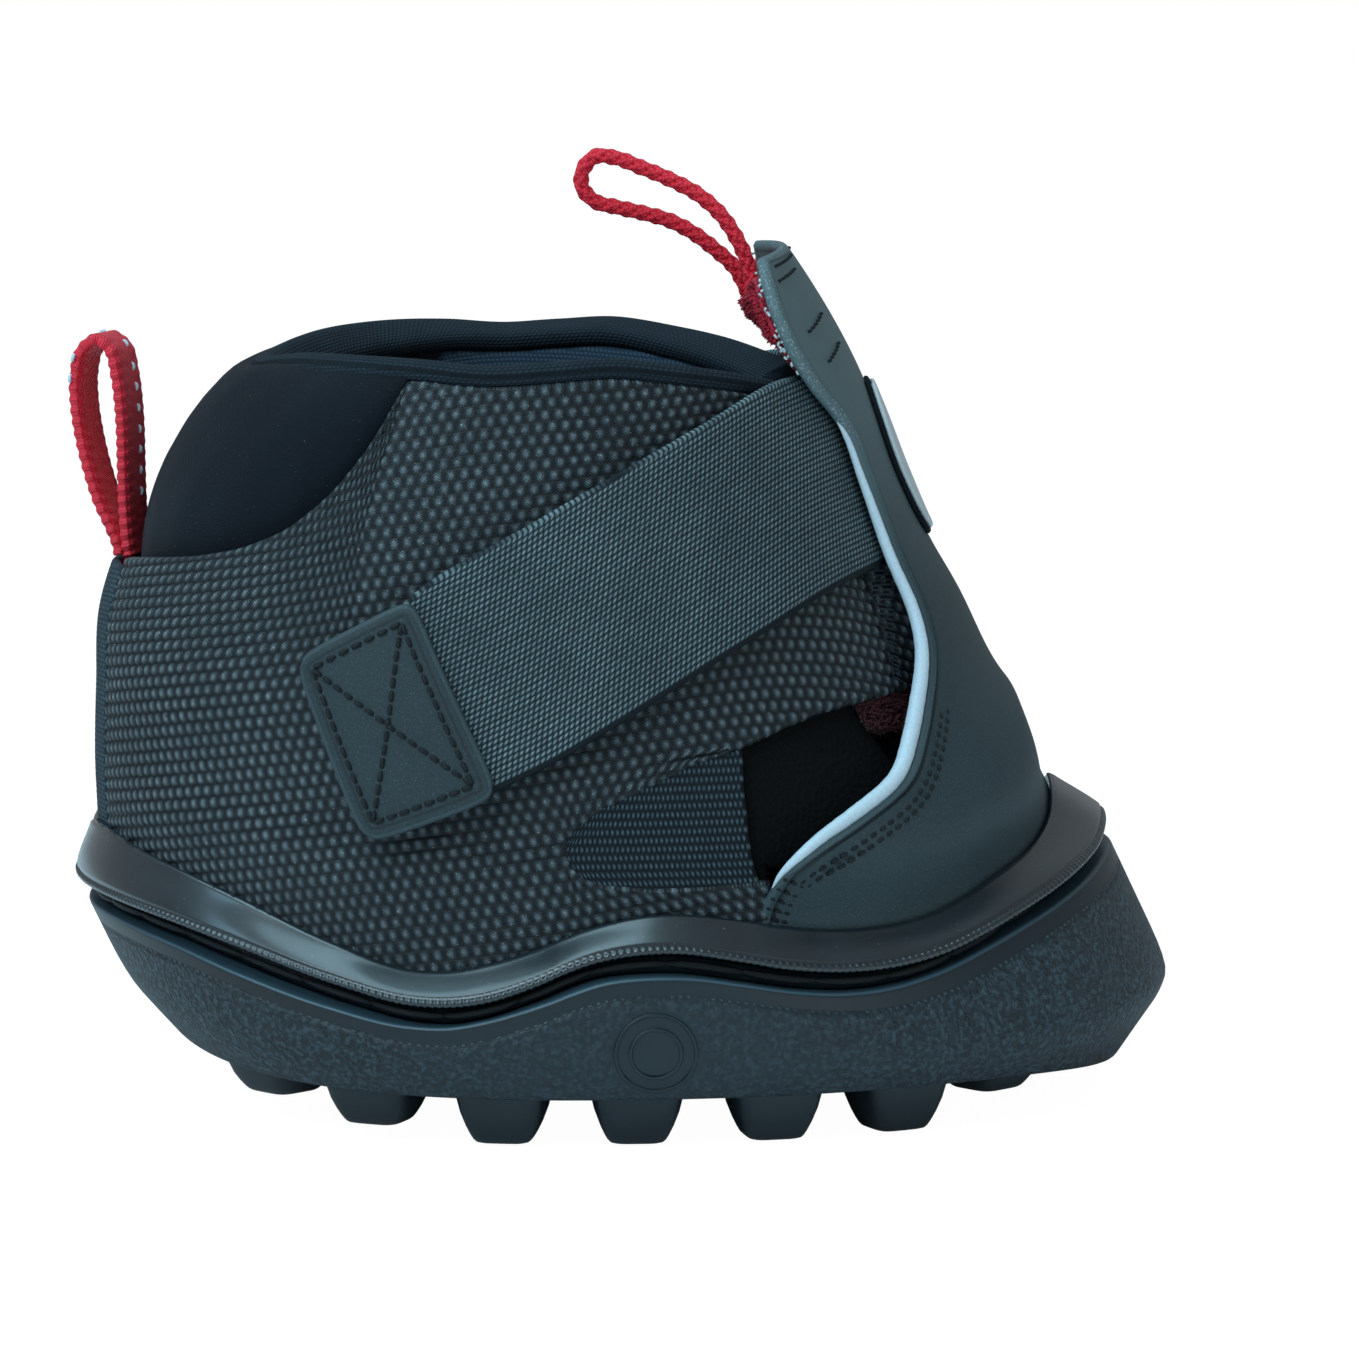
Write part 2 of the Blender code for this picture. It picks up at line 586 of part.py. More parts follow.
def lug(name, x, y, angle, foot, length, depth, collection):
    """A tapered rubber block, flat below, with its top sunk into the sole."""
    top = LUG_HEIGHT + LUG_SINK
    bm = bmesh.new()
    bmesh.ops.create_cone(bm, cap_ends=True, segments=4, radius1=LUG_TAPER_SHARE * math.sqrt(0.5),
                          radius2=math.sqrt(0.5), depth=1.0)
    bmesh.ops.rotate(bm, verts=bm.verts[:], matrix=Matrix.Rotation(math.pi / 4, 3, "Z"))
    bmesh.ops.bevel(bm, geom=[e for e in bm.edges if abs(e.verts[0].co.z - e.verts[1].co.z) > 0.5],
                    offset=LUG_BEVEL / length, segments=2, affect="EDGES")
    bmesh.ops.scale(bm, verts=bm.verts[:], vec=(length, depth, top - foot))
    bmesh.ops.rotate(bm, verts=bm.verts[:], matrix=Matrix.Rotation(angle, 3, "Z"))
    bmesh.ops.translate(bm, verts=bm.verts[:], vec=(x, y, (top + foot) / 2))
    mesh = bpy.data.meshes.new(name)
    bm.to_mesh(mesh)
    bm.free()
    piece = bpy.data.objects.new(name, mesh)
    collection.objects.link(piece)
    return piece


def sole_lugs(cutters):
    lugs = []
    for turn, rise, reach in LUG_SHARES:
        for side in ("right", "left"):
            place = sided(turn, side)
            near, ahead = (oval(place + step, reach * SOLE_TOE_LENGTH, -reach * SOLE_HEEL_LENGTH,
                                reach * SOLE_HALF_WIDTH, -SET_BACK / 2)
                           for step in (0.0, EDGE_STEP_SHARE))
            angle = math.atan2(ahead[1] - near[1], ahead[0] - near[0])
            lugs.append(lug(f"lug_{side}_{turn:.3f}", near[0], near[1], angle, rise * LUG_HEIGHT,
                            LUG_LENGTH, LUG_DEPTH, cutters))
    for share in CENTRE_LUG_SHARES:
        lugs.append(lug(f"lug_centre_{share:.2f}", share * SOLE_TOE_LENGTH, 0.0, 0.0, 0.0,
                        CENTRE_LUG_LENGTH, CENTRE_LUG_WIDTH, cutters))
    return lugs


def make_outsole(parts, cutters):
    """Cup sole: tread field, wall, wavy lip and the cavity that holds the upper; lugs joined on."""
    lip = wave(ring_turns(), 1)
    rings = [sole_ring(shares) for shares in SOLE_RING_SHARES] + [lip_ring()]
    for share in np.linspace(0, 1, CUP_RINGS):
        rings.append(last_ring(lip + share * (CUP_FLOOR - lip), CUP_CLEARANCE))
    outsole = ring_body("outsole", rings, "sole_rubber", parts, closed_section=False)
    for block in sole_lugs(cutters):
        join_solids(outsole, block, "UNION")
    return outsole


def make_welt(parts):
    """The recessed strip in the groove between lip and rand, and the thread that runs round it."""
    turn = ring_turns()
    low = wave(turn, 1) + SEAM_GAP
    high = wave(turn, 2) - GROOVE_GAP
    ring_body("welt", [last_ring(low, CUP_CLEARANCE), last_ring(low, WELT_DEPTH),
                       last_ring(high, WELT_DEPTH), last_ring(high, CUP_CLEARANCE)],
              "sole_rubber", parts, closed_section=True)
    middle = (low + high) / 2
    centre = WELT_DEPTH + SEAM_GAP + THREAD_RADIUS
    rings = []
    for angle in np.linspace(2 * np.pi, 0, THREAD_SIDES, endpoint=False):
        rings.append(last_ring(middle + THREAD_RADIUS * math.sin(angle),
                               centre + THREAD_RADIUS * math.cos(angle)))
    ring_body("welt_thread", rings, "welt_thread", parts, closed_section=True)


def make_rand(parts):
    """Rubber band that laps the upper and flares out over the groove."""
    turn = ring_turns()
    low, high = wave(turn, 2), wave(turn, 3)
    toe_share = np.clip(np.cos(np.pi * turn), 0, 1) ** 3
    flare = RAND_FLARE_SIDE + (RAND_FLARE_TOE - RAND_FLARE_SIDE) * toe_share
    inner = CUP_CLEARANCE
    knee = high - RAND_EDGE
    ring_body("rand", [last_ring(low, inner), last_ring(low, flare), last_ring(low + RAND_EDGE, flare),
                       last_ring(knee, inner + RAND_THICKNESS), last_ring(high, inner + RAND_THICKNESS / 2),
                       last_ring(high, inner)], "rand_rubber", parts, closed_section=True)


def flat_plate(name, low, thickness, lift, slot, parts):
    """A plate inside the cup, its outline the last's at that height, drawn in by the lift."""
    heights = (np.full(RING_STATIONS, low), np.full(RING_STATIONS, low + thickness))
    ring_body(name, [last_ring(height, lift) for height in heights], slot, parts, closed_section=False)


def make_insoles(parts):
    lining_depth = PANEL_THICKNESS + FOAM_THICKNESS + LINING_THICKNESS + 2 * LAYER_GAP
    lift = -(lining_depth + INSOLE_EDGE_GAP)
    board = CUP_FLOOR + SEAM_GAP
    pad = board + INSOLE_BOARD_THICKNESS + SEAM_GAP
    cover = pad + INSOLE_THICKNESS + SEAM_GAP
    flat_plate("insole_board", board, INSOLE_BOARD_THICKNESS, lift, "counter_board", parts)
    flat_plate("insole", pad, INSOLE_THICKNESS, lift, "insole_foam", parts)
    flat_plate("insole_cover", cover, INSOLE_COVER_THICKNESS, lift, "lining_cloth", parts)


def side_grids(side, lift, rear, front_margin):
    """The L-shaped side: a tall part behind the window and a front part above it."""
    rear = np.array(rear)
    front = np.array(FRONT_TURN_SHARES[:len(FRONT_TURN_SHARES) - front_margin])
    foot = np.full(len(rear), SIDE_FOOT / UPPER_HEIGHT)
    middle = np.full(len(rear), MID_RISE_SHARE)
    low = columns_between(rear, foot, middle, REAR_LOW_ROWS)
    high = columns_between(rear, middle, panel_top(rear), REAR_HIGH_ROWS)
    ahead = columns_between(front, straight_read(WINDOW_TOP_SHARES, front), panel_top(front), REAR_HIGH_ROWS)
    return [on_last(sided(turn, side), rise, lift) for turn, rise in (low, high, ahead)]


def elastic_grid(side, lift, gap, overrun_turn=0.0):
    """The wedge of the elastic, drawn in by the gap; a cutter's wedge also runs out past the front."""
    turns = np.array(ELASTIC_TURN_SHARES)
    low = straight_read(ELASTIC_LOW_SHARES, turns) + gap / UPPER_HEIGHT
    high = straight_read(ELASTIC_HIGH_SHARES, turns) - gap / UPPER_HEIGHT
    turns[-1] -= gap / (math.pi * HALF_WIDTH)
    if overrun_turn:
        turns = np.concatenate([[turns[0] - overrun_turn], turns])
        low, high = np.insert(low, 0, low[0]), np.insert(high, 0, high[0])
    turn, rise = columns_between(turns, low, high, ELASTIC_ROWS)
    return on_last(sided(turn, side), rise, lift)


def make_side(side, parts, cutters):
    """Nylon panel with its notch for the elastic, foam and lining behind it, and the loop patch."""
    panel = sheet(f"side_panel_{side}", side_grids(side, 0.0, REAR_TURN_SHARES, 0), PANEL_THICKNESS,
                  "panel_nylon", parts)
    wedge = elastic_grid(side, CUT_OVERRUN, -ELASTIC_GAP, NOTCH_OVERRUN_TURN_SHARE)
    notch = sheet(f"elastic_notch_{side}", [wedge], PANEL_THICKNESS + 2 * CUT_OVERRUN, "panel_nylon", cutters)
    join_solids(panel, notch, "DIFFERENCE")
    foam_lift = -(PANEL_THICKNESS + LAYER_GAP)
    foam_turns = [turn for turn in REAR_TURN_SHARES if turn <= FOAM_REAR_TURN_SHARE]
    sheet(f"quarter_foam_{side}", side_grids(side, foam_lift, foam_turns, 1), FOAM_THICKNESS,
          "quarter_foam", parts)
    lining_lift = foam_lift - FOAM_THICKNESS - LAYER_GAP
    lining_turns = REAR_TURN_SHARES + LINING_HEEL_TURN_SHARES
    sheet(f"quarter_lining_{side}", side_grids(side, lining_lift, lining_turns, 1), LINING_THICKNESS,
          "lining_cloth", parts)
    sheet(f"elastic_insert_{side}", [elastic_grid(side, -ELASTIC_SINK, SEAM_GAP)], ELASTIC_THICKNESS,
          "elastic_knit", parts)
    turn, rise = band_between(LOOP_PATCH_LOW_SHARES, LOOP_PATCH_HIGH_SHARES, PATCH_COLUMNS, PATCH_ROWS)
    sheet(f"side_loop_patch_{side}", [on_last(sided(turn, side), rise, LOOP_PATCH_LIFT)],
          LOOP_PATCH_THICKNESS, "binding_knit", parts)


def across_heel(turns):
    """Turns on the right side up to the heel, then their mirror images on the left."""
    turns = np.array(turns)
    return np.concatenate([turns, (2.0 - turns)[::-1][1:]])


def make_heel(parts):
    """Stiff counter between panel and lining, and the stay strip over the back seam."""
    turns = across_heel(COUNTER_TURN_SHARES)
    foot = np.full(len(turns), SIDE_FOOT / UPPER_HEIGHT)
    top = straight_read(COUNTER_TOP_SHARES, side_turn(turns))
    turn, rise = columns_between(turns, foot, top, COUNTER_ROWS)
    sheet("heel_counter", [on_last(turn, rise, -(PANEL_THICKNESS + COUNTER_GAP))], COUNTER_THICKNESS,
          "counter_board", parts)
    turns = across_heel(STAY_TURN_SHARES)
    foot = (wave(turns, 3) + SEAM_GAP) / UPPER_HEIGHT
    turn, rise = columns_between(turns, foot, np.full(len(turns), STAY_TOP_SHARE), STAY_ROWS)
    sheet("heel_stay", [on_last(turn, rise, STAY_LIFT)], STAY_THICKNESS, "stay_tape", parts)


def pad_grids():
    """Outer and inner faces of the neoprene pad: crowned, drawn in at its seams, tucked at its foot."""
    turns = across_heel(PAD_TURN_SHARES)
    gap = LAYER_GAP / UPPER_HEIGHT
    low = straight_read(PAD_SEAM_SHARES, side_turn(turns) - PAD_SEAM_TURN_GAP_SHARE) + gap
    high = collar_rise(turns) - BINDING_HEIGHT / UPPER_HEIGHT - gap
    turn, rise = columns_between(turns, low, high, PAD_ROWS)
    up = np.linspace(0, 1, PAD_ROWS + 1)[:, None]
    fill = ((high - low) / (high - low).max())[None, :]
    crown = PAD_CROWN * np.sin(np.pi * up) ** PAD_CROWN_POWER * fill
    tuck = PAD_TUCK * (1 - up) ** 2 * fill
    outer = on_last(turn, rise, crown - tuck - LAYER_GAP)
    inner = on_last(turn, rise, -PAD_DEPTH)
    return outer, inner


def make_heel_pad(parts):
    outer, inner = pad_grids()
    bm = bmesh.new()
    faces = [[[bm.verts.new(place) for place in row] for row in grid] for grid in (outer, inner)]
    rows, columns = outer.shape[:2]
    for grid in faces:
        for i in range(rows - 1):
            for j in range(columns - 1):
                bm.faces.new((grid[i][j], grid[i][j + 1], grid[i + 1][j + 1], grid[i + 1][j]))
    rim = [(0, j) for j in range(columns)] + [(i, columns - 1) for i in range(1, rows)]
    rim += [(rows - 1, j) for j in range(columns - 2, -1, -1)] + [(i, 0) for i in range(rows - 2, 0, -1)]
    for (i, j), (k, m) in zip(rim, rim[1:] + rim[:1]):
        bm.faces.new((faces[0][i][j], faces[0][k][m], faces[1][k][m], faces[1][i][j]))
    finished_body("heel_collar_pad", bm, "collar_neoprene", parts)


def make_binding(parts):
    """Knit tape round the top edge, from one side of the throat round the heel to the other."""
    turns = np.linspace(BINDING_TURN_SHARE, 2.0 - BINDING_TURN_SHARE, BINDING_STATIONS)
    high = collar_rise(turns)
    low = high - BINDING_HEIGHT / UPPER_HEIGHT
    edge = BINDING_ROUND_SHARE * BINDING_HEIGHT / UPPER_HEIGHT
    shoulder = BINDING_OUT - BINDING_IN
    places = ((-BINDING_IN, low + edge), (shoulder, low), (0.0, low), (BINDING_OUT, low + edge),
              (BINDING_OUT, high - edge), (0.0, high), (shoulder, high), (-BINDING_IN, high - edge))
    corners = [on_last(turns, rise, lift) for lift, rise in places]
    rib_body("collar_binding", np.stack(corners, axis=1), "binding_knit", parts)


def across_toe(turns):
    """Turns from the right side through the toe to the left side."""
    turns = np.array(turns)
    return np.concatenate([turns[::-1], -turns[1:]])


def vamp_grids(turns, edge, depth):
    """Columns from the foot in the sole to the rand's top, and on to the edge; depth goes inwards."""
    foot = np.full(len(turns), SIDE_FOOT / UPPER_HEIGHT)
    middle = wave(turns, 3) / UPPER_HEIGHT
    grids = []
    for low, high, rows in ((foot, middle, VAMP_LOW_ROWS), (middle, edge, VAMP_HIGH_ROWS)):
        turn, rise = columns_between(turns, low, high, rows)
        grids.append(on_last(turn, rise, cover_lift(turn, rise) - depth))
    return grids


def make_vamp(parts):
    """Cover below the fold, its foot inside the sole, with a pile lining behind it."""
    turns = across_toe(VAMP_TURN_SHARES)
    edge = straight_read(VAMP_EDGE_SHARES, side_turn(turns))
    sheet("vamp", vamp_grids(turns, edge, 0.0), COVER_THICKNESS, "cover_leather", parts)
    margin = (1 - VAMP_LINING_MARGIN_SHARE) * FOLD_RISE_SHARE / 2
    depth = COVER_THICKNESS + VAMP_LINING_GAP
    sheet("vamp_lining", vamp_grids(turns * VAMP_LINING_MARGIN_SHARE, edge - margin, depth),
          VAMP_LINING_THICKNESS, "pile_red", parts)


def flap_edge(rise):
    return smooth_read(FLAP_EDGE_SHARES, 1, rise)


def flap_grid(low, high, width_table, lift):
    """Rows from low to high; each runs from edge to edge of the flap, times the width share."""
    shares = np.array(FLAP_COLUMN_SHARES)
    across = np.concatenate([-shares[::-1], shares[1:]])
    up = np.linspace(low, high, FLAP_ROWS + 1)[:, None]
    height = (up - FOLD_RISE_SHARE) / (FLAP_TOP_SHARE - FOLD_RISE_SHARE)
    drop = FLAP_CORNER_DROP_SHARE * across[None, :] ** 2 * np.clip(height, 0, 1) ** 4
    rise = up - drop
    turn = flap_edge(up) * across[None, :] * straight_read(width_table, up)
    return on_last(turn, rise, lift)


def make_flap(parts):
    """Cover above the fold, its pile lining, and the bare badge patch on its base."""
    low = FOLD_RISE_SHARE + FLAP_GAP / UPPER_HEIGHT
    sheet("flap", [flap_grid(low, FLAP_TOP_SHARE, COVER_WIDTH_SHARES, COVER_LIFT)], COVER_THICKNESS,
          "cover_leather", parts)
    pile_lift = COVER_LIFT - COVER_THICKNESS - LAYER_GAP
    sheet("flap_lining", [flap_grid(*PILE_RISE_SHARES, PILE_WIDTH_SHARES, pile_lift)], PILE_THICKNESS,
          "pile_red", parts)
    make_badge(parts)


def badge_grid(inset, lift):
    low, high = BADGE_RISE_SHARES
    middle, half = (low + high) / 2, (high - low) / 2 * inset
    up = np.linspace(-1, 1, BADGE_ROWS)[:, None]
    across = np.linspace(-1, 1, BADGE_COLUMNS)[None, :]
    waist = np.sqrt(1 - BADGE_ROUND_SHARE * up**2)
    turn = BADGE_TURN_SHARE * inset * across * waist
    return on_last(turn, middle + half * up + 0 * across, lift)


def make_badge(parts):
    base_lift = COVER_LIFT + LAYER_GAP + BADGE_BASE_THICKNESS
    sheet("badge_base", [badge_grid(1.0, base_lift)], BADGE_BASE_THICKNESS, "badge_edge", parts)
    sheet("badge_patch", [badge_grid(BADGE_INSET_SHARE, base_lift + LAYER_GAP + BADGE_THICKNESS)],
          BADGE_THICKNESS, "badge_face", parts)


def tube(name, points, radii, slot, parts, resolution=2):
    """A tube on a poly spline, with a radius at each point and filled caps."""
    curve = bpy.data.curves.new(name, "CURVE")
    curve.dimensions = "3D"
    curve.bevel_depth = 1.0
    curve.bevel_resolution = resolution
    curve.use_fill_caps = True
    spline = curve.splines.new("POLY")
    spline.points.add(len(points) - 1)
    for point, place, radius in zip(spline.points, points, radii):
        point.co = (*place, 1.0)
        point.radius = radius
    piece = bpy.data.objects.new(name, curve)
    curve.materials.append(finish_of(slot))
    parts.objects.link(piece)
    return piece


def piping_points(turn, rise, lift, radius, side):
    """Points beside the cover's edge, one radius and a gap away from it, towards the rear."""
    edge = on_last(sided(turn, side), rise, lift)
    rear = on_last(sided(turn + EDGE_STEP_SHARE, side), rise, lift) - edge
    path = np.gradient(edge, axis=0)
    path /= np.linalg.norm(path, axis=1, keepdims=True)
    rear -= (rear * path).sum(axis=1, keepdims=True) * path
    rear /= np.linalg.norm(rear, axis=1, keepdims=True)
    return edge + rear * (radius + PIPING_GAP)[:, None]


def make_piping(side, parts):
    """Reflective cord along the cover's rear edge: one length on the flap, one on the vamp."""
    rise = np.array([row[0] for row in FLAP_PIPING_SHARES])
    radius = np.array([row[1] for row in FLAP_PIPING_SHARES]) * PIPING_RADIUS
    lift = COVER_LIFT - PIPING_LIFT_SINK
    tube(f"flap_piping_{side}", piping_points(flap_edge(rise), rise, lift, radius, side), radius,
         "piping_silver", parts)
    turn = np.array([row[0] for row in VAMP_PIPING_SHARES])
    radius = np.array([row[1] for row in VAMP_PIPING_SHARES]) * PIPING_RADIUS
    rise = straight_read(VAMP_EDGE_SHARES, turn)
    lift = cover_lift(turn, rise) - PIPING_LIFT_SINK
    tube(f"vamp_piping_{side}", piping_points(turn, rise, lift, radius, side), radius, "piping_silver", parts)


def strap_lift():
    """The strap leaves the flap close to the panel and climbs over the fastening patches."""
    t = np.clip(np.linspace(0, 1, STRAP_COLUMNS + 1) / STRAP_CLIMB_SHARE, 0, 1)
    return STRAP_ROOT_LIFT + (STRAP_TAIL_LIFT - STRAP_ROOT_LIFT) * (3 * t**2 - 2 * t**3)


def make_strap(side, parts):
    """Webbing from the flap's edge to the tab, its sewn root, the tab and the hook patch under it."""
    turn, rise = band_between(STRAP_LOW_SHARES, STRAP_HIGH_SHARES, STRAP_COLUMNS, STRAP_ROWS)
    sheet(f"strap_{side}", [on_last(sided(turn, side), rise, strap_lift()[None, :])], STRAP_THICKNESS,
          "strap_webbing", parts)
    turn, rise = band_between(ROOT_LOW_SHARES, ROOT_HIGH_SHARES, 3, STRAP_ROWS)
    sheet(f"strap_root_{side}", [on_last(sided(turn, side), rise, STRAP_ROOT_LIFT)], STRAP_THICKNESS,
          "strap_webbing", parts)
    turn, rise = band_between(TAB_LOW_SHARES, TAB_HIGH_SHARES, TAB_COLUMNS, STRAP_ROWS)
    sheet(f"strap_tab_{side}", [on_last(sided(turn, side), rise, TAB_LIFT)], TAB_THICKNESS,
          "cover_leather", parts)
    turn, rise = band_between(HOOK_LOW_SHARES, HOOK_HIGH_SHARES, PATCH_COLUMNS, PATCH_ROWS)
    sheet(f"strap_hook_patch_{side}", [on_last(sided(turn, side), rise, HOOK_LIFT)], HOOK_THICKNESS,
          "binding_knit", parts)


def heel_loop_frame():
    foot = Vector((-LOOP_FOOT_REACH_SHARE * HEEL_LENGTH, 0.0, LOOP_FOOT_RISE_SHARE * UPPER_HEIGHT))
    return Matrix.Translation(foot) @ Matrix.Rotation(-LOOP_TURN, 4, "Z")


def make_heel_loop(parts):
    """Webbing bent into an upright loop, and the anchor tape that holds it behind the panel's edge."""
    path = np.array(LOOP_PATH_SHARES) * LOOP_HEIGHT
    run = np.concatenate([[0], np.cumsum(np.hypot(*np.diff(path, axis=0).T))])
    table = [(r, *row) for r, row in zip(run, path)]
    share = np.linspace(0, run[-1], LOOP_STATIONS)
    x, z = smooth_read(table, 1, share), smooth_read(table, 2, share)
    tangent = np.stack([np.gradient(x), np.gradient(z)], axis=1)
    tangent /= np.linalg.norm(tangent, axis=1, keepdims=True)
    half, wide = LOOP_WEB_THICKNESS / 2, LOOP_WEB_WIDTH / 2
    frame = heel_loop_frame()
    sections = []
    for px, pz, (tx, tz) in zip(x, z, tangent):
        corners = ((half, -wide), (half, wide), (-half, wide), (-half, -wide))
        sections.append([frame @ Vector((px + n * tz, y, pz - n * tx)) for n, y in corners])
    rib_body("heel_pull_loop", sections, "loop_red", parts)
    turns = 1.0 + LOOP_ANCHOR_TURN_SHARE * np.linspace(-1, 1, LOOP_ANCHOR_COLUMNS + 1)
    low, high = (np.full(len(turns), rise) for rise in LOOP_ANCHOR_RISE_SHARES)
    turn, rise = columns_between(turns, low, high, 2)
    sheet("heel_loop_anchor", [on_last(turn, rise, LOOP_ANCHOR_LIFT)], LOOP_ANCHOR_THICKNESS,
          "loop_red", parts)


def make_front_loop(parts):
    """Braided cord bent into a loop, and the pocket behind the pile that holds its two ends."""
    foot = CORD_POCKET_RISE_SHARE * UPPER_HEIGHT
    top = foot + CORD_POCKET_HEIGHT
    pile_face = COVER_LIFT - COVER_THICKNESS - LAYER_GAP - PILE_THICKNESS
    root = (on_last(0.0, top / UPPER_HEIGHT, pile_face)[0] - CORD_SET_IN, 0.0, top + CORD_GAP)
    points = np.array(CORD_POINTS) + root
    run = np.concatenate([[0], np.cumsum(np.linalg.norm(np.diff(points, axis=0), axis=1))])
    table = [(r, *row) for r, row in zip(run, points)]
    share = np.linspace(0, run[-1], len(points))
    path = np.stack([smooth_read(table, c, share) for c in (1, 2, 3)], axis=1)
    tube("front_pull_loop", path, np.full(len(path), CORD_RADIUS), "cord_red", parts)
    sections = []
    for height, depth in CORD_POCKET_SHARES:
        z = foot + height * CORD_POCKET_HEIGHT
        front = on_last(0.0, z / UPPER_HEIGHT, pile_face)[0] - CORD_POCKET_GAP
        rear = front - depth * CORD_POCKET_DEPTH
        half = CORD_POCKET_HALF_WIDTH
        sections.append([(front, -half, z), (front, half, z), (rear, half, z), (rear, -half, z)])
    rib_body("front_loop_anchor", sections, "cord_red", parts)


def build_boot():
    clear_scene()
    parts = new_collection("hoof_boot")
    cutters = new_collection("cutters")
    make_outsole(parts, cutters)
    make_welt(parts)
    make_rand(parts)
    make_insoles(parts)
    make_heel(parts)
    make_heel_pad(parts)
    make_binding(parts)
    make_vamp(parts)
    make_flap(parts)
    for side in ("right", "left"):
        make_side(side, parts, cutters)
        make_piping(side, parts)
        make_strap(side, parts)
    make_heel_loop(parts)
    make_front_loop(parts)


build_boot()
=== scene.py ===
# %% Load the frame
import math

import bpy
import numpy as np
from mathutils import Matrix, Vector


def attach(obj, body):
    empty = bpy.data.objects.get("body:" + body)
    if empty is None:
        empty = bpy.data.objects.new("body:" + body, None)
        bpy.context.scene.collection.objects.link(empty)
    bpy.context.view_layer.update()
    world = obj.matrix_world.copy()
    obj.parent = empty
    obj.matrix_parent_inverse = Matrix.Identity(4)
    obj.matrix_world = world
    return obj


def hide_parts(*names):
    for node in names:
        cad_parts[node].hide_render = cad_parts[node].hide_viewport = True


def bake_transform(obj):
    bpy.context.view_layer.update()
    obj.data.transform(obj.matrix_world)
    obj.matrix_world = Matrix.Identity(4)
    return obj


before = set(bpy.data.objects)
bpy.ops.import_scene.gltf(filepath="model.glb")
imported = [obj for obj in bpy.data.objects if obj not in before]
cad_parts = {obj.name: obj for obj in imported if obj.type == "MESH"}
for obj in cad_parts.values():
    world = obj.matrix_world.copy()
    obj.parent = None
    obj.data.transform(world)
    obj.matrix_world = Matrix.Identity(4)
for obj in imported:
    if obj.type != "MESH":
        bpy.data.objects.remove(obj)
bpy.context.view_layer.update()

# %% [markdown]
# # The looks of a horse's hoof boot
# The frame that was just loaded holds the boot's construction: every piece at its real size, and the
# joints. This lesson dresses it. Each piece is a surface that numpy works out, laid on one shared form,
# the last, and each finish is a small set of shader nodes. Sizes are in metres, or in millimetres where
# a name ends in MM. The boot stands on z = 0, with its toe at +X and its right side at -Y.

MM = 0.001

# %% [markdown]
# ## Camera
# A product photograph is taken from far away with a long lens, which keeps the heel as tall as the toe.
# The camera is placed by distance and elevation, so the framing is a matter of the lens alone.

# %% Camera
CAMERA_TARGET = Vector((0.0087, 0.0, 0.0598))
CAMERA_DISTANCE = 1.0
CAMERA_ELEVATION = math.radians(7.3)
CAMERA_LENS_MM = 176.6


def add_camera():
    data = bpy.data.cameras.new("product_camera")
    data.lens = CAMERA_LENS_MM
    camera = bpy.data.objects.new("product_camera", data)
    bpy.context.scene.collection.objects.link(camera)
    back = Vector((0.0, -math.cos(CAMERA_ELEVATION), math.sin(CAMERA_ELEVATION)))
    camera.location = CAMERA_TARGET + back * CAMERA_DISTANCE
    camera.rotation_euler = (-back).to_track_quat("-Z", "Y").to_euler()
    bpy.context.scene.camera = camera


add_camera()

# %% [markdown]
# ## The last
# A boot is made over a last. Here it is a stack of hoof-shaped ovals whose front, back, width and middle
# are smooth curves of the height. A place on it is a turn (0 at the toe, 0.5 on the right, 1 at the heel,
# 1.5 on the left), a rise (a share of the upper's height) and a lift away from the surface. Every layer
# of the boot uses the same three numbers, which keeps the layers parallel.

# %% The last
UPPER_HEIGHT = 0.126
TOE_LENGTH = 0.0755
HEEL_LENGTH = 0.0785
HALF_WIDTH = 0.059
SET_BACK = 0.014
SIDE_FULLNESS_SHARES = (0.10, 0.12)
LAST_SHARES = np.array((
    (0.095, 1.000, 0.841, 1.000, 0.500), (0.159, 0.967, 0.902, 1.000, 0.571),
    (0.222, 0.921, 0.955, 0.986, 0.607), (0.286, 0.883, 0.990, 0.973, 0.643),
    (0.357, 0.842, 1.000, 0.954, 0.693), (0.476, 0.688, 0.998, 0.915, 0.786),
    (0.571, 0.608, 0.989, 0.878, 0.843), (0.627, 0.554, 0.961, 0.858, 0.871),
    (0.706, 0.495, 0.898, 0.825, 0.914), (0.790, 0.440, 0.794, 0.780, 0.957),
    (0.849, 0.396, 0.706, 0.749, 0.986), (0.889, 0.360, 0.622, 0.729, 1.000),
    (0.944, 0.303, 0.540, 0.695, 1.000), (1.000, 0.237, 0.455, 0.661, 1.000),
))
SLOPE_STEP = 0.002


def smooth_read(table, column, where):
    """A smooth curve through the table's points, from the first column to the named one.

    Each interval is a cubic, and the slope at a point is the weighted mean of its two neighbours' slopes.
    """
    table = np.asarray(table, float)
    xs, ys = table[:, 0], table[:, column]
    step = np.diff(xs)
    slope = np.diff(ys) / step
    tangent = np.concatenate([slope[:1], (slope[:-1] * step[1:] + slope[1:] * step[:-1])
                              / (step[:-1] + step[1:]), slope[-1:]])
    where = np.clip(np.asarray(where, float), xs[0], xs[-1])
    i = np.clip(np.searchsorted(xs, where) - 1, 0, len(xs) - 2)
    t = (where - xs[i]) / step[i]
    start = (2 * t**3 - 3 * t**2 + 1) * ys[i] + (t**3 - 2 * t**2 + t) * step[i] * tangent[i]
    end = (3 * t**2 - 2 * t**3) * ys[i + 1] + (t**3 - t**2) * step[i] * tangent[i + 1]
    return start + end


def straight_read(table, where):
    table = np.asarray(table, float)
    return np.interp(where, table[:, 0], table[:, 1])


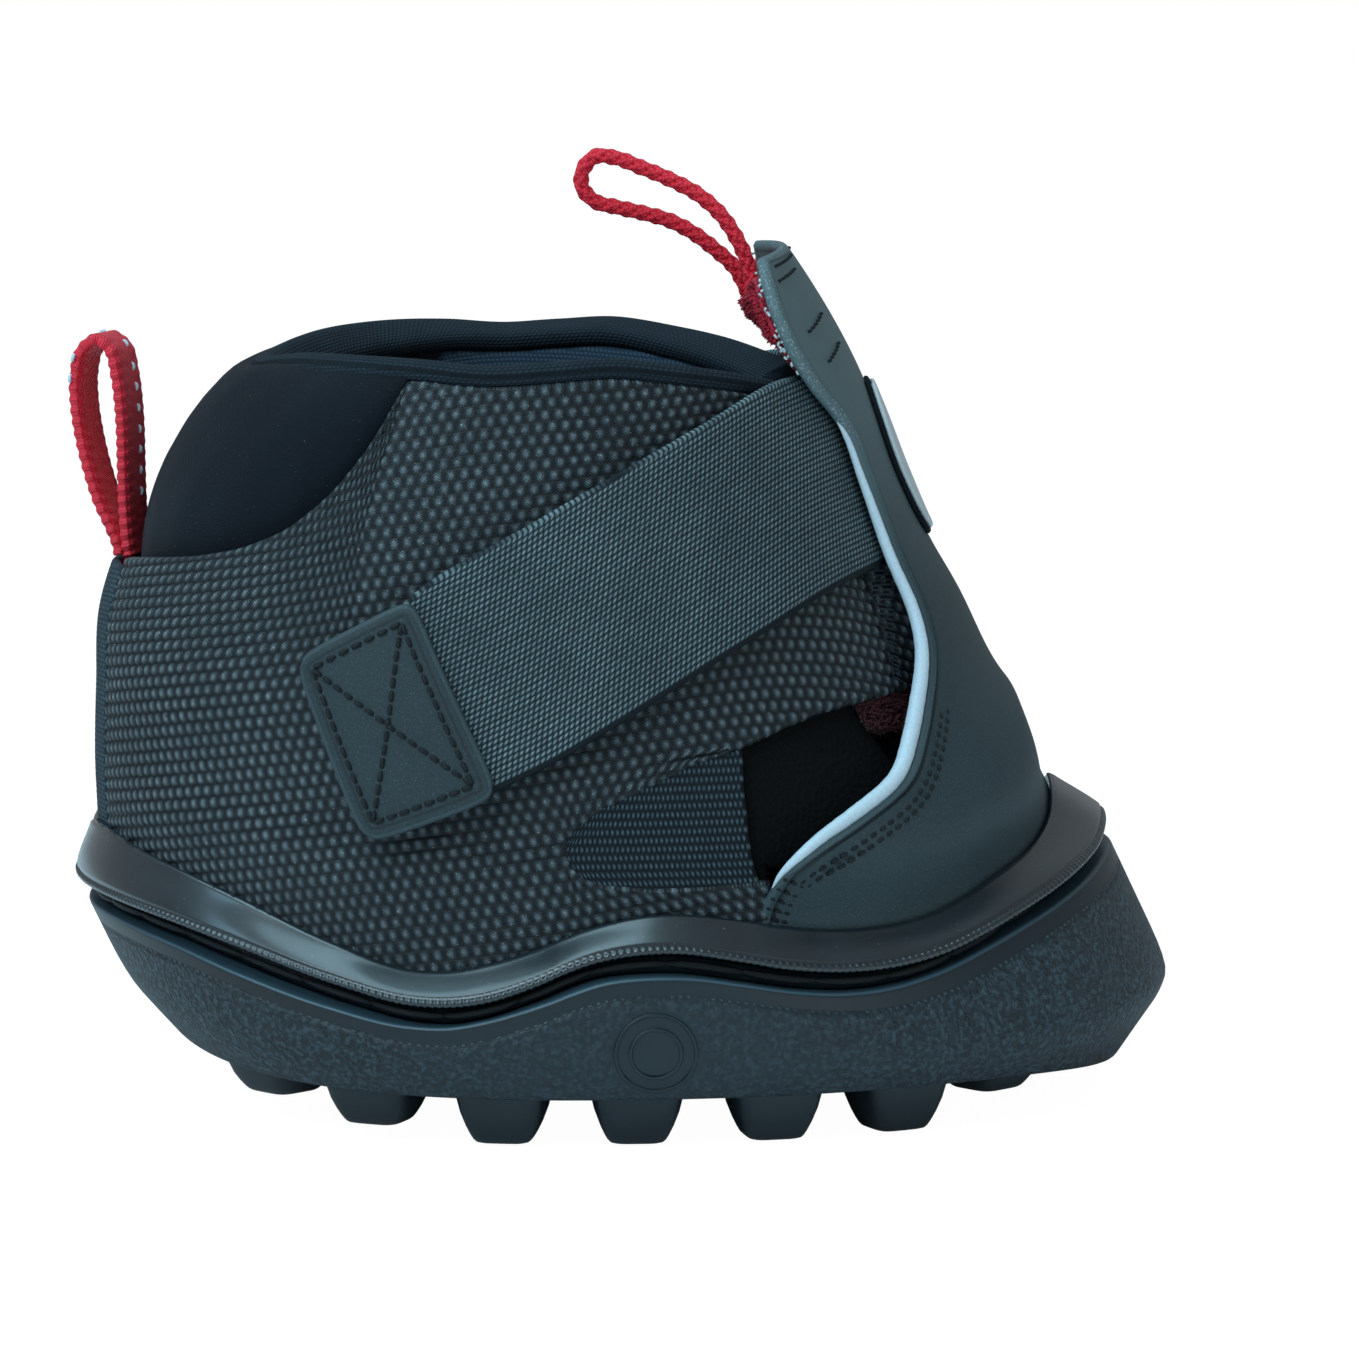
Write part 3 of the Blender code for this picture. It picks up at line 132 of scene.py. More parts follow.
def oval(turn, front, back, half_width, middle):
    """Two half ovals that share their widest place; the width is a little fuller towards both ends."""
    angle = np.pi * np.asarray(turn, float)
    along, across = np.cos(angle), np.sin(angle)
    reach = np.where(along > 0, front - middle, middle - back)
    fullness = np.where(along > 0, SIDE_FULLNESS_SHARES[0], SIDE_FULLNESS_SHARES[1])
    return middle + reach * along, -half_width * across * (1 + fullness * along**2)


def last_surface(turn, rise):
    """Ovals whose front, back, width and middle are smooth curves of the rise."""
    turn, rise = np.broadcast_arrays(np.asarray(turn, float), np.asarray(rise, float))
    front = smooth_read(LAST_SHARES, 1, rise) * TOE_LENGTH
    back = -smooth_read(LAST_SHARES, 2, rise) * HEEL_LENGTH
    half_width = smooth_read(LAST_SHARES, 3, rise) * HALF_WIDTH
    middle = -smooth_read(LAST_SHARES, 4, rise) * SET_BACK
    x, y = oval(turn, front, back, half_width, middle)
    return np.stack([x, y, rise * UPPER_HEIGHT], axis=-1)


def unit(vectors):
    return vectors / np.maximum(np.linalg.norm(vectors, axis=-1, keepdims=True), 1e-12)


def square_to(vectors, along):
    """What is left of the vectors, made unit, when their part along the others is taken off."""
    return unit(vectors - (vectors * along).sum(axis=1, keepdims=True) * along)


def full_circle(count):
    return np.linspace(0, 2 * np.pi, count, endpoint=False)


def blunt(wave, power):
    """A sine or cosine with flatter tops, as on a superellipse: its sign times its size to the power."""
    return np.sign(wave) * np.abs(wave) ** power


def last_normal(turn, rise):
    """Outward direction: the cross product of the slope along the rise and the slope along the turn."""
    inner = np.clip(rise, LAST_SHARES[0, 0] + SLOPE_STEP, LAST_SHARES[-1, 0] - SLOPE_STEP)
    across = last_surface(turn + SLOPE_STEP, rise) - last_surface(turn - SLOPE_STEP, rise)
    up = last_surface(turn, inner + SLOPE_STEP) - last_surface(turn, inner - SLOPE_STEP)
    return unit(np.cross(up, across))


def on_last(turn, rise, lift=0.0):
    turn, rise, lift = np.broadcast_arrays(*(np.asarray(v, float) for v in (turn, rise, lift)))
    return last_surface(turn, rise) + last_normal(turn, rise) * lift[..., None]


def side_turn(turn):
    """The turn folded to the right side, so that one table serves both sides."""
    folded = np.mod(np.asarray(turn, float), 2.0)
    return np.where(folded > 1.0, 2.0 - folded, folded)


def sided(turn, side):
    return turn if side == "right" else 2.0 - turn


def smooth_step(value, low=0.0, high=1.0):
    t = np.clip((value - low) / (high - low), 0, 1)
    return 3 * t**2 - 2 * t**3


def bell(value, middle, width):
    """A smooth hill that is 1 at the middle: exp(-x^2), x being the distance from it in widths."""
    return np.exp(-((value - middle) / width) ** 2)


# %% [markdown]
# ## From arrays to meshes
# A grid of points becomes faces by counting. A sheet of cloth or leather is a slab: its outer grid, a
# rounded rim round every free edge, and a coarser inner grid. Solidify could add that wall, but it would
# double the finest grid, and its edges are square.

# %% Mesh helpers
BODY_COLLECTION = bpy.data.collections.new("boot")
bpy.context.scene.collection.children.link(BODY_COLLECTION)
RIM_ANGLES = np.radians((35.0, 90.0, 145.0))


def grid_corners(rows, columns, wrap=False, close=False):
    """Numbers of a grid's points. Its first column comes again to wrap it, and its first row to close it."""
    corner = np.arange(rows * columns).reshape(rows, columns)
    if wrap:
        corner = np.concatenate([corner, corner[:, :1]], axis=1)
    return np.concatenate([corner, corner[:1]]) if close else corner


def quads(corner):
    """Faces between neighbouring rows and columns, which look along (up the rows) x (along the columns)."""
    return np.stack([corner[:-1, :-1], corner[1:, :-1], corner[1:, 1:], corner[:-1, 1:]], axis=-1)


def mesh_piece(name, points, faces, finish, spread=None, marks=None):
    """A mesh object from points and arrays of faces. spread is its UV map in millimetres."""
    corners = np.concatenate([face.ravel() for face in faces])
    used, corners = np.unique(corners, return_inverse=True)
    corners = corners.ravel().astype(np.int32)
    sizes = np.concatenate([np.full(face.size // face.shape[-1], face.shape[-1]) for face in faces])
    mesh = bpy.data.meshes.new(name)
    mesh.vertices.add(len(used))
    mesh.vertices.foreach_set("co", points.reshape(-1, 3)[used].astype(np.float32).ravel())
    mesh.loops.add(len(corners))
    mesh.loops.foreach_set("vertex_index", corners)
    mesh.polygons.add(len(sizes))
    starts = np.concatenate([[0], np.cumsum(sizes)[:-1]]).astype(np.int32)
    mesh.polygons.foreach_set("loop_start", starts)
    mesh.update(calc_edges=True)
    if spread is not None:
        layer = mesh.uv_layers.new(name="spread")
        layer.data.foreach_set("uv", spread.reshape(-1, 2)[used][corners].astype(np.float32).ravel())
    for mark, values in (marks or {}).items():
        layer = mesh.attributes.new(mark, "FLOAT", "POINT")
        layer.data.foreach_set("value", values.reshape(-1)[used].astype(np.float32))
    mesh.shade_smooth()
    mesh.materials.append(finish)
    piece = bpy.data.objects.new(name, mesh)
    BODY_COLLECTION.objects.link(piece)
    return piece


def slab(name, base, normal, wall, finish, relief=0.0, spread=None, marks=None, keep=None, every=1):
    """A closed sheet: base points moved out by the relief, a rim, and an inner face one wall below.

    keep marks the faces that exist. The inner face has one face for every so many outer ones each way.
    """
    rows, columns = base.shape[:2]
    count = rows * columns
    facing = (np.cross(base[1:, :-1] - base[:-1, :-1], base[:-1, 1:] - base[:-1, :-1])
              * normal[:-1, :-1]).sum() > 0
    corner = grid_corners(rows, columns)
    faces = quads(corner)
    keep = np.ones(faces.shape[:2], bool) if keep is None else keep
    outer, inner = faces[keep], quads(corner[::every, ::every])[keep[::every, ::every]]
    if not facing:
        outer, inner = outer[:, ::-1], inner[:, ::-1]
    starts, ends = outer.ravel(), np.roll(outer, -1, axis=1).ravel()
    lone = ~np.isin(starts * count + ends, ends * count + starts)
    starts, ends = starts[lone], ends[lone]
    following = np.full(count, -1)
    following[starts] = ends
    flat, out = base.reshape(-1, 3), normal.reshape(-1, 3)
    push = np.cross(flat[ends] - flat[starts], out[starts])
    away = np.zeros_like(flat)
    np.add.at(away, starts, push)
    np.add.at(away, ends, push)
    away = unit(away)
    relief = np.broadcast_to(np.asarray(relief, float), (rows, columns)).reshape(-1, 1)
    layers = [flat + out * relief]
    for angle in RIM_ANGLES:
        depth = wall / 2 * (math.cos(angle) - 1)
        layers.append(flat + out * depth + away * (wall / 2 * math.sin(angle)))
    layers.append(flat - out * wall)
    made = [outer]
    for level in range(len(RIM_ANGLES)):
        near, far = level * count, (level + 1) * count
        made.append(np.stack([ends + near, starts + near, starts + far, ends + far], axis=1))
    grid_rows, grid_columns = np.divmod(starts, columns)
    first = starts[(grid_rows % every == 0) & (grid_columns % every == 0)]
    chain = [first]
    for _ in range(every):
        chain.append(following[chain[-1]])
    last_rim, last_layer = len(RIM_ANGLES) * count, (len(RIM_ANGLES) + 1) * count
    closing = [place + last_rim for place in chain[::-1]] + [chain[0] + last_layer, chain[-1] + last_layer]
    made.append(np.stack(closing, axis=1))
    made.append(inner[:, ::-1] + last_layer)
    copies = len(layers)
    spread = None if spread is None else np.tile(spread.reshape(-1, 2), (copies, 1))
    marks = {mark: np.tile(np.broadcast_to(values, (rows, columns)).reshape(-1), copies)
             for mark, values in (marks or {}).items()}
    return mesh_piece(name, np.concatenate(layers), made, finish, spread, marks)


def loft(name, rings, finish, spread=None, marks=None, close=False):
    """A body through closed rings that run the same way round.

    The last ring joins the first, or both get a cap.
    """
    rings = np.asarray(rings)
    rows, columns = rings.shape[:2]
    made = [quads(grid_corners(rows, columns, wrap=True, close=close)).reshape(-1, 4)]
    if not close:
        corner = grid_corners(rows, columns)
        made += [corner[:1], corner[-1:, ::-1]]
    return mesh_piece(name, rings, facing_outwards(rings, made), finish, spread, marks)


def signed_volume(points, faces):
    """Six times the volume inside the faces: the sum of the triple products of fans of corners."""
    flat = np.asarray(points).reshape(-1, 3)
    total = 0.0
    for face in faces:
        corner = flat[face]
        fan = np.cross(corner[:, 1:-1], corner[:, 2:])
        total += (corner[:, :1] * fan).sum()
    return total


def facing_outwards(points, faces):
    return [face[:, ::-1] for face in faces] if signed_volume(points, faces) < 0 else faces


def joined(name, pieces):
    """One object from several, the first of which gives the finish."""
    bpy.ops.object.select_all(action="DESELECT")
    for piece in pieces:
        piece.select_set(True)
    bpy.context.view_layer.objects.active = pieces[0]
    bpy.ops.object.join()
    pieces[0].name = name
    pieces[0].data.name = name
    return pieces[0]


def wear(piece, body, slot, *nodes):
    """What every rigid piece needs: the body that it rides on and what it replaces; the slot is not used."""
    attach(piece, body)
    if nodes:
        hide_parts(*nodes)
    print(piece.name, "rides on", body, "faces", len(piece.data.polygons))


def run_length(points, axis):
    """Distance walked along an axis of a grid, in millimetres, from its first row or column."""
    step = np.linalg.norm(np.diff(points, axis=axis), axis=-1) / MM
    zero = np.zeros_like(np.take(step, [0], axis=axis))
    return np.concatenate([zero, np.cumsum(step, axis=axis)], axis=axis)


# %% [markdown]
# ## Shader expressions
# A pattern such as a weave is arithmetic on two coordinates. Drawn as nodes it is hard to read, so a
# socket is wrapped in a class whose operators add the Math nodes. The same formula is then written
# once for numpy and once for the shader, and the two stay in step.

# %% Value, Nodes and Finish
class Value:
    """A shader socket; an expression on it adds Math nodes."""

    def __init__(self, finish, socket):
        self.finish = finish
        self.socket = socket

    def maths(self, operation, *others):
        return self.finish.node("ShaderNodeMath", {"operation": operation}, dict(enumerate((self, *others))))

    def __add__(self, other):
        return self.maths("ADD", other)

    def __mul__(self, other):
        return self.maths("MULTIPLY", other)

    def __sub__(self, other):
        return self.maths("SUBTRACT", other)

    def __truediv__(self, other):
        return self.maths("DIVIDE", other)

    def __rsub__(self, other):
        return self * -1.0 + other

    def __mod__(self, other):
        return self.maths("FLOORED_MODULO", other)

    def __pow__(self, other):
        return self.maths("POWER", other)

    def __abs__(self):
        return self.maths("ABSOLUTE")

    __radd__ = __add__
    __rmul__ = __mul__

    def ramp(self, low, high):
        """A smooth step from 0 at low to 1 at high."""
        return self.finish.node("ShaderNodeMapRange", {"interpolation_type": "SMOOTHSTEP"},
                                {0: self, 1: low, 2: high})


class Nodes:
    """The nodes of a material or of the world."""

    def __init__(self, tree):
        self.tree = tree

    def node(self, kind, settings=None, sockets=None, output=0):
        made = self.tree.nodes.new(kind)
        for key, value in (settings or {}).items():
            setattr(made, key, value)
        for key, value in (sockets or {}).items():
            self.feed(made.inputs[key], value)
        return Value(self, made.outputs[output])

    def feed(self, socket, value):
        if isinstance(value, Value):
            self.tree.links.new(value.socket, socket)
        else:
            socket.default_value = value

    def seen_directly(self):
        """1 for rays straight from the camera, 0 for the light on the object and for its reflections."""
        return self.node("ShaderNodeLightPath", output="Is Camera Ray")

    def surface(self, output, plain, white, share):
        """The last node takes a mix of two shaders: the plain socket's, and the white one by the share."""
        mixed = self.node("ShaderNodeMixShader", None, {0: share, 1: Value(self, plain), 2: white})
        self.feed(self.tree.nodes[output].inputs["Surface"], mixed)


class Finish(Nodes):
    """One material."""

    def __init__(self, name):
        self.material = bpy.data.materials.new(name)
        self.material.use_nodes = True
        super().__init__(self.material.node_tree)
        self.shader = self.tree.nodes["Principled BSDF"]

    def place(self):
        return self.node("ShaderNodeTexCoord", output="Object")

    def xyz(self):
        place = self.place()
        return [self.node("ShaderNodeSeparateXYZ", None, {0: place}, output=axis) for axis in range(3)]

    def spread(self):
        """The two coordinates of the piece's own UV map, in millimetres."""
        pair = self.node("ShaderNodeUVMap", {"uv_map": "spread"})
        return [self.node("ShaderNodeSeparateXYZ", None, {0: pair}, output=axis) for axis in range(2)]

    def mark(self, name):
        return self.node("ShaderNodeAttribute", {"attribute_name": name}, output="Fac")

    def noise(self, size_mm, detail=2.0, stretch=None):
        """Noise whose blotches are about the size given, or longer along the stretched axes."""
        place = self.place()
        if stretch:
            place = self.node("ShaderNodeMapping", None, {"Vector": place, "Scale": stretch})
        return self.node("ShaderNodeTexNoise", None,
                         {"Vector": place, "Scale": 1.0 / (size_mm * MM), "Detail": detail})

    def pebbles(self, size_mm):
        scale = 1.0 / (size_mm * MM)
        return self.node("ShaderNodeTexVoronoi", None, {"Vector": self.place(), "Scale": scale})

    def mix(self, low, high, share):
        """A colour between two, by a share from 0 to 1."""
        return self.node("ShaderNodeMix", {"data_type": "RGBA"}, {0: share, 6: low, 7: high}, output=2)

    def bump(self, height, depth_mm):
        sockets = {"Height": height, "Distance": depth_mm * MM, "Strength": 1.0}
        return self.node("ShaderNodeBump", None, sockets)

    def done(self, **sockets):
        for key, value in sockets.items():
            self.feed(self.shader.inputs[key.replace("_", " ")], value)
        return self.material


def paint(code):
    """A colour written as it looks on a screen, turned into the light that the renderer works with."""
    channels = [int(code[i:i + 2], 16) / 255 for i in (1, 3, 5)]
    linear = [c / 12.92 if c <= 0.04045 else ((c + 0.055) / 1.055) ** 2.4 for c in channels]
    return (*linear, 1.0)


# %% [markdown]
# ## Weaves
# Ballistic nylon is a plain weave of thick yarn. Each row is a rounded ridge with knots on it, and the knots
# of the next row are shifted by half a knot. The same formula shapes the mesh and, as nodes, tints it:
# painted shade between the rows, grey on the ridge and a painted highlight on top of each knot.

# %% Ballistic nylon
KNOT_LENGTH_MM = 1.97
KNOT_HEIGHT_MM = 1.79
KNOT_RELIEF = 0.00060
ROW_SLOPE = 0.142
ROW_BEND = 0.0062
ROW_BEND_START_MM = 34.0


def knot_dome(u, v):
    """Height, 0 to 1: sqrt(1 - b^2) across a row, times 0.45 + 0.55 cos^2(a) along it."""
    row = np.floor(v / KNOT_HEIGHT_MM)
    a = u / KNOT_LENGTH_MM + 0.5 * np.mod(row, 2)
    b = np.mod(v / KNOT_HEIGHT_MM, 1) - 0.5
    ridge = np.sqrt(np.clip(1 - (b / 0.47) ** 2, 0, 1))
    return ridge * (0.45 + 0.55 * np.cos(np.pi * a) ** 2)


def panel_nylon():
    finish = Finish("panel_nylon")
    u, v = finish.spread()
    row = (v / KNOT_HEIGHT_MM).maths("FLOOR")
    a = u / KNOT_LENGTH_MM + (row % 2.0) * 0.5
    b = (v / KNOT_HEIGHT_MM).maths("FRACT") - 0.5
    knot = (a * math.pi).maths("COSINE") ** 2.0
    ridge = (1.0 - b * b * (1 / 0.47**2)).maths("MAXIMUM", 0.0) ** 0.5
    # Painted highlight: pale on the crown of each knot.
    highlight_spot = (knot * (b * math.pi).maths("COSINE")) ** 2.0
    cloud = finish.noise(7.0, 3.0)
    grain = finish.noise(0.45, 2.0)
    thread = ((u * 0.8 + v) * (2 * math.pi / 0.40)).maths("SINE") * 0.5 + 0.5
    # Darker between the rows and round the knots: painted shade.
    tone = finish.mix(paint("#020508"), paint("#10202a"), ridge * (knot * 0.6 + 0.4) * (thread * 0.5 + 0.65))
    painted_highlight = highlight_spot * (cloud * 0.7 + 0.1) * (grain * 1.1 + 0.05) * (thread * 0.5 + 0.6)
    tone = finish.mix(tone, paint("#c0d2d8"), painted_highlight)
    # Pale specks on the knot crowns: painted glints.
    speck = finish.noise(0.30, 1.0).ramp(0.68, 0.76) * knot * ridge
    tone = finish.mix(tone, paint("#c4d0cf"), speck * 0.7)
    normal = finish.bump(thread * ridge * 0.6 + grain * 0.4, 0.22)
    return finish.done(Base_Color=tone, Roughness=0.62 - 0.20 * knot, Normal=normal, Specular_IOR_Level=0.5)


# %% Strap webbing, elastic and tape
STRAP_CELL_MM = 0.90
STRAP_ROW_MM = 0.76
STRAP_RELIEF = 0.00010
ELASTIC_COLUMN_MM = 0.75
ELASTIC_ROW_MM = 1.2
ELASTIC_RELIEF = 0.00018


def brick_dome(u, v, length, height):
    """Round-topped cells in rows that are each shifted by half a cell: cos(a) cos(b)."""
    row = np.floor(v / height)
    a = np.mod(u / length + 0.5 * np.mod(row, 2), 1) - 0.5
    b = np.mod(v / height, 1) - 0.5
    return np.cos(np.pi * a) * np.cos(np.pi * b)


def dome_nodes(u, v, length, height, lean=0.0):
    """The same cells as shader nodes; lean slants each cell by that many cells per row."""
    row = (v / height).maths("FLOOR")
    b = (v / height).maths("FRACT") - 0.5
    a = (u / length + (row % 2.0) * 0.5 + b * lean).maths("FRACT") - 0.5
    return (a * math.pi).maths("COSINE") * (b * math.pi).maths("COSINE")


def strap_webbing():
    finish = Finish("strap_webbing")
    u, v = finish.spread()
    dome = dome_nodes(u, v, STRAP_CELL_MM, STRAP_ROW_MM, lean=0.8)
    patch = finish.noise(9.0, 3.0)
    grain = finish.noise(0.5, 2.0)
    band = (v * (2 * math.pi / (STRAP_ROW_MM * 4))).maths("SINE") * 0.08
    tone = finish.mix(paint("#0a141a"), paint("#2b3c43"), dome * (patch * 0.5 + 0.7) + band)
    # Pale ticks on the cells' crowns: painted highlights.
    painted_ticks = (dome ** 2.0) * (grain * 1.4) * (patch * 0.8 + 0.5)
    tone = finish.mix(tone, paint("#8ea3a8"), painted_ticks.maths("MINIMUM", 0.9))
    normal = finish.bump(dome * 0.8 + grain * 0.2, 0.13)
    return finish.done(Base_Color=tone, Roughness=0.74 - 0.12 * dome, Normal=normal, Specular_IOR_Level=0.3)


def elastic_knit():
    finish = Finish("elastic_knit")
    u, v = finish.spread()
    dome = dome_nodes(u, v, ELASTIC_COLUMN_MM, ELASTIC_ROW_MM)
    grain = finish.noise(0.6, 2.0)
    tone = finish.mix(paint("#060e14"), paint("#1d2d37"), dome ** 1.2)
    # Pale on the cells' crowns: painted highlights.
    tone = finish.mix(tone, paint("#6d8089"), (dome ** 3.0) * grain * 0.8)
    normal = finish.bump(dome, 0.16)
    return finish.done(Base_Color=tone, Roughness=0.75, Normal=normal, Specular_IOR_Level=0.3)


def knit_tape(name, dark, pale, length=0.9, height=0.55):
    finish = Finish(name)
    u, v = finish.spread()
    dome = dome_nodes(u, v, length, height, lean=0.3)
    tone = finish.mix(paint(dark), paint(pale), dome * (finish.noise(4.0) * 0.8 + 0.4))
    normal = finish.bump(dome, 0.12)
    return finish.done(Base_Color=tone, Roughness=0.85, Normal=normal, Specular_IOR_Level=0.25)


def lining_cloth():
    """Black jersey, near black low down as painted shade inside the boot, and paler towards the collar as
    painted light.
    """
    finish = Finish("lining_cloth")
    u, v = finish.spread()
    dome = dome_nodes(u, v, 0.7, 0.7, lean=0.3)
    # Near black low down, as painted shade inside the boot; paler towards the collar, as painted light.
    high = finish.xyz()[2].ramp(0.082, 0.098)
    tone = finish.mix(finish.mix(paint("#030506"), paint("#07090b"), dome),
                      finish.mix(paint("#374a5a"), paint("#587086"), dome), high)
    normal = finish.bump(dome, 0.10)
    return finish.done(Base_Color=tone, Roughness=0.85, Normal=normal, Specular_IOR_Level=0.12)


# %% [markdown]
# ## Smooth finishes
# Synthetic leather, neoprene and rubber have no yarn. Their character is in how the gloss breaks: a fine
# grain on the leather, an almost even matt on the neoprene, a moulded pebble on the sole and a polished
# band with a soft smear on the rand.

# %% Leather, neoprene and rubber
def cover_leather():
    finish = Finish("cover_leather")
    grain = finish.noise(0.42, 3.0)
    fine = finish.noise(0.16, 1.0)
    cloud = finish.noise(16.0, 3.0)
    tone = finish.mix(paint("#1a292d"), paint("#34464b"), cloud * 0.5 + grain * 0.5)
    z = finish.xyz()[2]
    # Paler higher up the flap: painted light.
    tone = finish.mix(tone, paint("#64797c"), z.ramp(0.072, 0.108) * 0.62)
    tone = finish.mix(tone, paint("#0a1216"), finish.mark("deep"))
    speck = fine.ramp(0.64, 0.72)
    tone = finish.mix(tone, paint("#6c7f84"), speck * 0.45)
    edge = finish.mark("edge_mm")
    # A dark line 1.1 mm in from the edge: painted shade in the groove of the rolled edge.
    tone = finish.mix(tone, paint("#0c1418"), (1.0 - abs(edge - 1.1).ramp(0.10, 0.35)) * 0.55)
    # A pale line along the very edge: painted highlight.
    border = 1.0 - edge.ramp(0.0, 0.16)
    tone = finish.mix(tone, paint("#6f858d"), border * 0.12)
    rim = (1.0 - edge.ramp(0.9, 1.2)) * z.ramp(0.096, 0.101)
    tone = finish.mix(tone, paint("#9fb0b4"), finish.noise(0.28, 1.0).ramp(0.56, 0.66) * rim * 0.55)
    normal = finish.bump(grain * 0.7 + fine * 0.3, 0.05)
    return finish.done(Base_Color=tone, Roughness=0.50 + 0.16 * grain, Normal=normal, Specular_IOR_Level=0.42)


def collar_neoprene():
    finish = Finish("collar_neoprene")
    u, v = finish.spread()
    knit = (u * (2 * math.pi / 0.55)).maths("SINE") * (v * (2 * math.pi / 0.42)).maths("SINE")
    cloud = finish.noise(14.0, 2.0)
    dust = finish.noise(0.35, 1.0).ramp(0.77, 0.80)
    tone = finish.mix(paint("#02080f"), paint("#081521"), cloud * 0.8 + knit * 0.15)
    tone = finish.mix(tone, paint("#93a2a8"), dust * 0.4)
    normal = finish.bump(knit, 0.03)
    return finish.done(Base_Color=tone, Roughness=0.78, Normal=normal, Specular_IOR_Level=0.18,
                       Sheen_Weight=0.05, Sheen_Roughness=0.5)


def sole_rubber():
    """Pebbled, but smooth on the lugs and in the border under the lip, with a dotted line below that."""
    finish = Finish("sole_rubber")
    pebble = finish.noise(0.72, 4.0)
    fine = finish.noise(0.45, 2.0)
    crease = finish.pebbles(1.1)
    below = finish.mark("below_lip_mm")
    x = finish.xyz()[0]
    ends = abs(x * (1 / MM) - 4.0).ramp(12.0, 62.0) * 0.55 + 0.45
    rough_part = below.ramp(2.4, 3.6) * finish.mark("pebbled") * ends
    grain = pebble * 0.9 + (1.0 - crease) * 0.3 + fine * 0.25
    cloud = finish.noise(22.0, 3.0)
    tone = finish.mix(paint("#0b171d"), paint("#17262e"), cloud)
    # Darker towards the heel: painted shade.
    tone = finish.mix(tone, paint("#04090c"), (x * -1.0).ramp(0.005, 0.065) * 0.75)
    # Paler on the pebbles' crests, as painted highlights, and darker in their creases, as painted shade.
    high = grain.ramp(0.62, 0.98) * rough_part
    low = (1.0 - grain.ramp(0.42, 0.70)) * rough_part
    tone = finish.mix(tone, paint("#587280"), high * 0.42)
    tone = finish.mix(tone, paint("#050b0f"), low * 0.45)
    # The dotted line is moulded, as a bump, and tinted paler as a painted highlight.
    along = finish.mark("along_mm")
    dots = ((along * (2 * math.pi / 1.15)).maths("SINE")).ramp(-0.2, 0.6)
    line = (1.0 - (abs(below - 2.7)).ramp(0.06, 0.24)) * dots * finish.noise(3.0).ramp(0.38, 0.6)
    tone = finish.mix(tone, paint("#6d8087"), line * 0.35)
    # A pale line along the lip: painted highlight.
    lip = (1.0 - (abs(below - 0.15)).ramp(0.06, 0.32)) * finish.mark("pebbled")
    tone = finish.mix(tone, paint("#53707f"), lip * 0.5)
    normal = finish.bump(grain * rough_part + line * 0.3, 0.9)
    return finish.done(Base_Color=tone, Roughness=0.42 + 0.10 * rough_part, Normal=normal,
                       Specular_IOR_Level=0.5)


def rand_rubber():
    finish = Finish("rand_rubber")
    smear = finish.noise(9.0, 3.0, (1.0, 1.0, 2.5))
    fine = finish.noise(0.5, 2.0)
    tone = finish.mix(paint("#091217"), paint("#15242b"), smear)
    dust = finish.noise(0.6, 1.0).ramp(0.74, 0.80)
    tone = finish.mix(tone, paint("#7d898b"), dust * 0.35)
    normal = finish.bump(fine * 0.3 + smear * 0.7, 0.08)
    return finish.done(Base_Color=tone, Roughness=0.36 + 0.10 * smear, Normal=normal, Specular_IOR_Level=0.45,
                       Coat_Weight=0.95, Coat_Roughness=0.20)


def thread(name, dark, pale):
    """Twisted thread: fine slanted stripes."""
    finish = Finish(name)
    x, y, z = finish.xyz()
    twist = ((x + y + z * 1.7) * (2 * math.pi / (0.45 * MM))).maths("SINE") * 0.5 + 0.5
    tone = finish.mix(paint(dark), paint(pale), twist)
    normal = finish.bump(twist, 0.05)
    return finish.done(Base_Color=tone, Roughness=0.6, Normal=normal, Specular_IOR_Level=0.4)


def foam(name, dark, pale):
    finish = Finish(name)
    cell = finish.pebbles(0.8)
    tone = finish.mix(paint(dark), paint(pale), cell)
    return finish.done(Base_Color=tone, Roughness=0.92, Normal=finish.bump(cell, 0.2), Specular_IOR_Level=0.2)


def piping_silver():
    """Reflective cloth rolled round a cord: a fine weave, and the faintest ribs across it."""
    finish = Finish("piping_silver")
    rib = (finish.spread()[0] * (2 * math.pi / 1.05)).maths("SINE") * 0.5 + 0.5
    weave = finish.noise(0.35, 2.0)
    tone = finish.mix(paint("#b4cad8"), paint("#dfedf5"), rib * 0.08 + weave * 0.9)
    return finish.done(Base_Color=tone, Roughness=0.5, Normal=finish.bump(rib * 0.12 + weave * 0.9, 0.07),
                       Specular_IOR_Level=0.5)


def red_yarn(name, dark, pale):
    """Twisted polyester yarn; its stripes follow the length that the UV map gives."""
    finish = Finish(name)
    u, v = finish.spread()
    twist = ((u * (1 / 0.42) + v * 1.4) * (2 * math.pi)).maths("SINE") * 0.5 + 0.5
    tone = finish.mix(paint(dark), paint(pale), twist * 0.6 + finish.noise(1.5, 2.0) * 0.5)
    normal = finish.bump(twist, 0.06)
    return finish.done(Base_Color=tone, Roughness=0.62, Normal=normal, Specular_IOR_Level=0.35,
                       Sheen_Weight=0.1, Sheen_Roughness=0.4)


def badge_face():
    """A bare moulded plate: pale, with the faintest warm cloud."""
    finish = Finish("badge_face")
    cloud = finish.noise(5.0, 2.0)
    tone = finish.mix(paint("#b9c6cb"), paint("#d6dbdc"), cloud)
    return finish.done(Base_Color=tone, Roughness=0.42, Normal=finish.bump(finish.noise(0.5), 0.03),
                       Specular_IOR_Level=0.5)


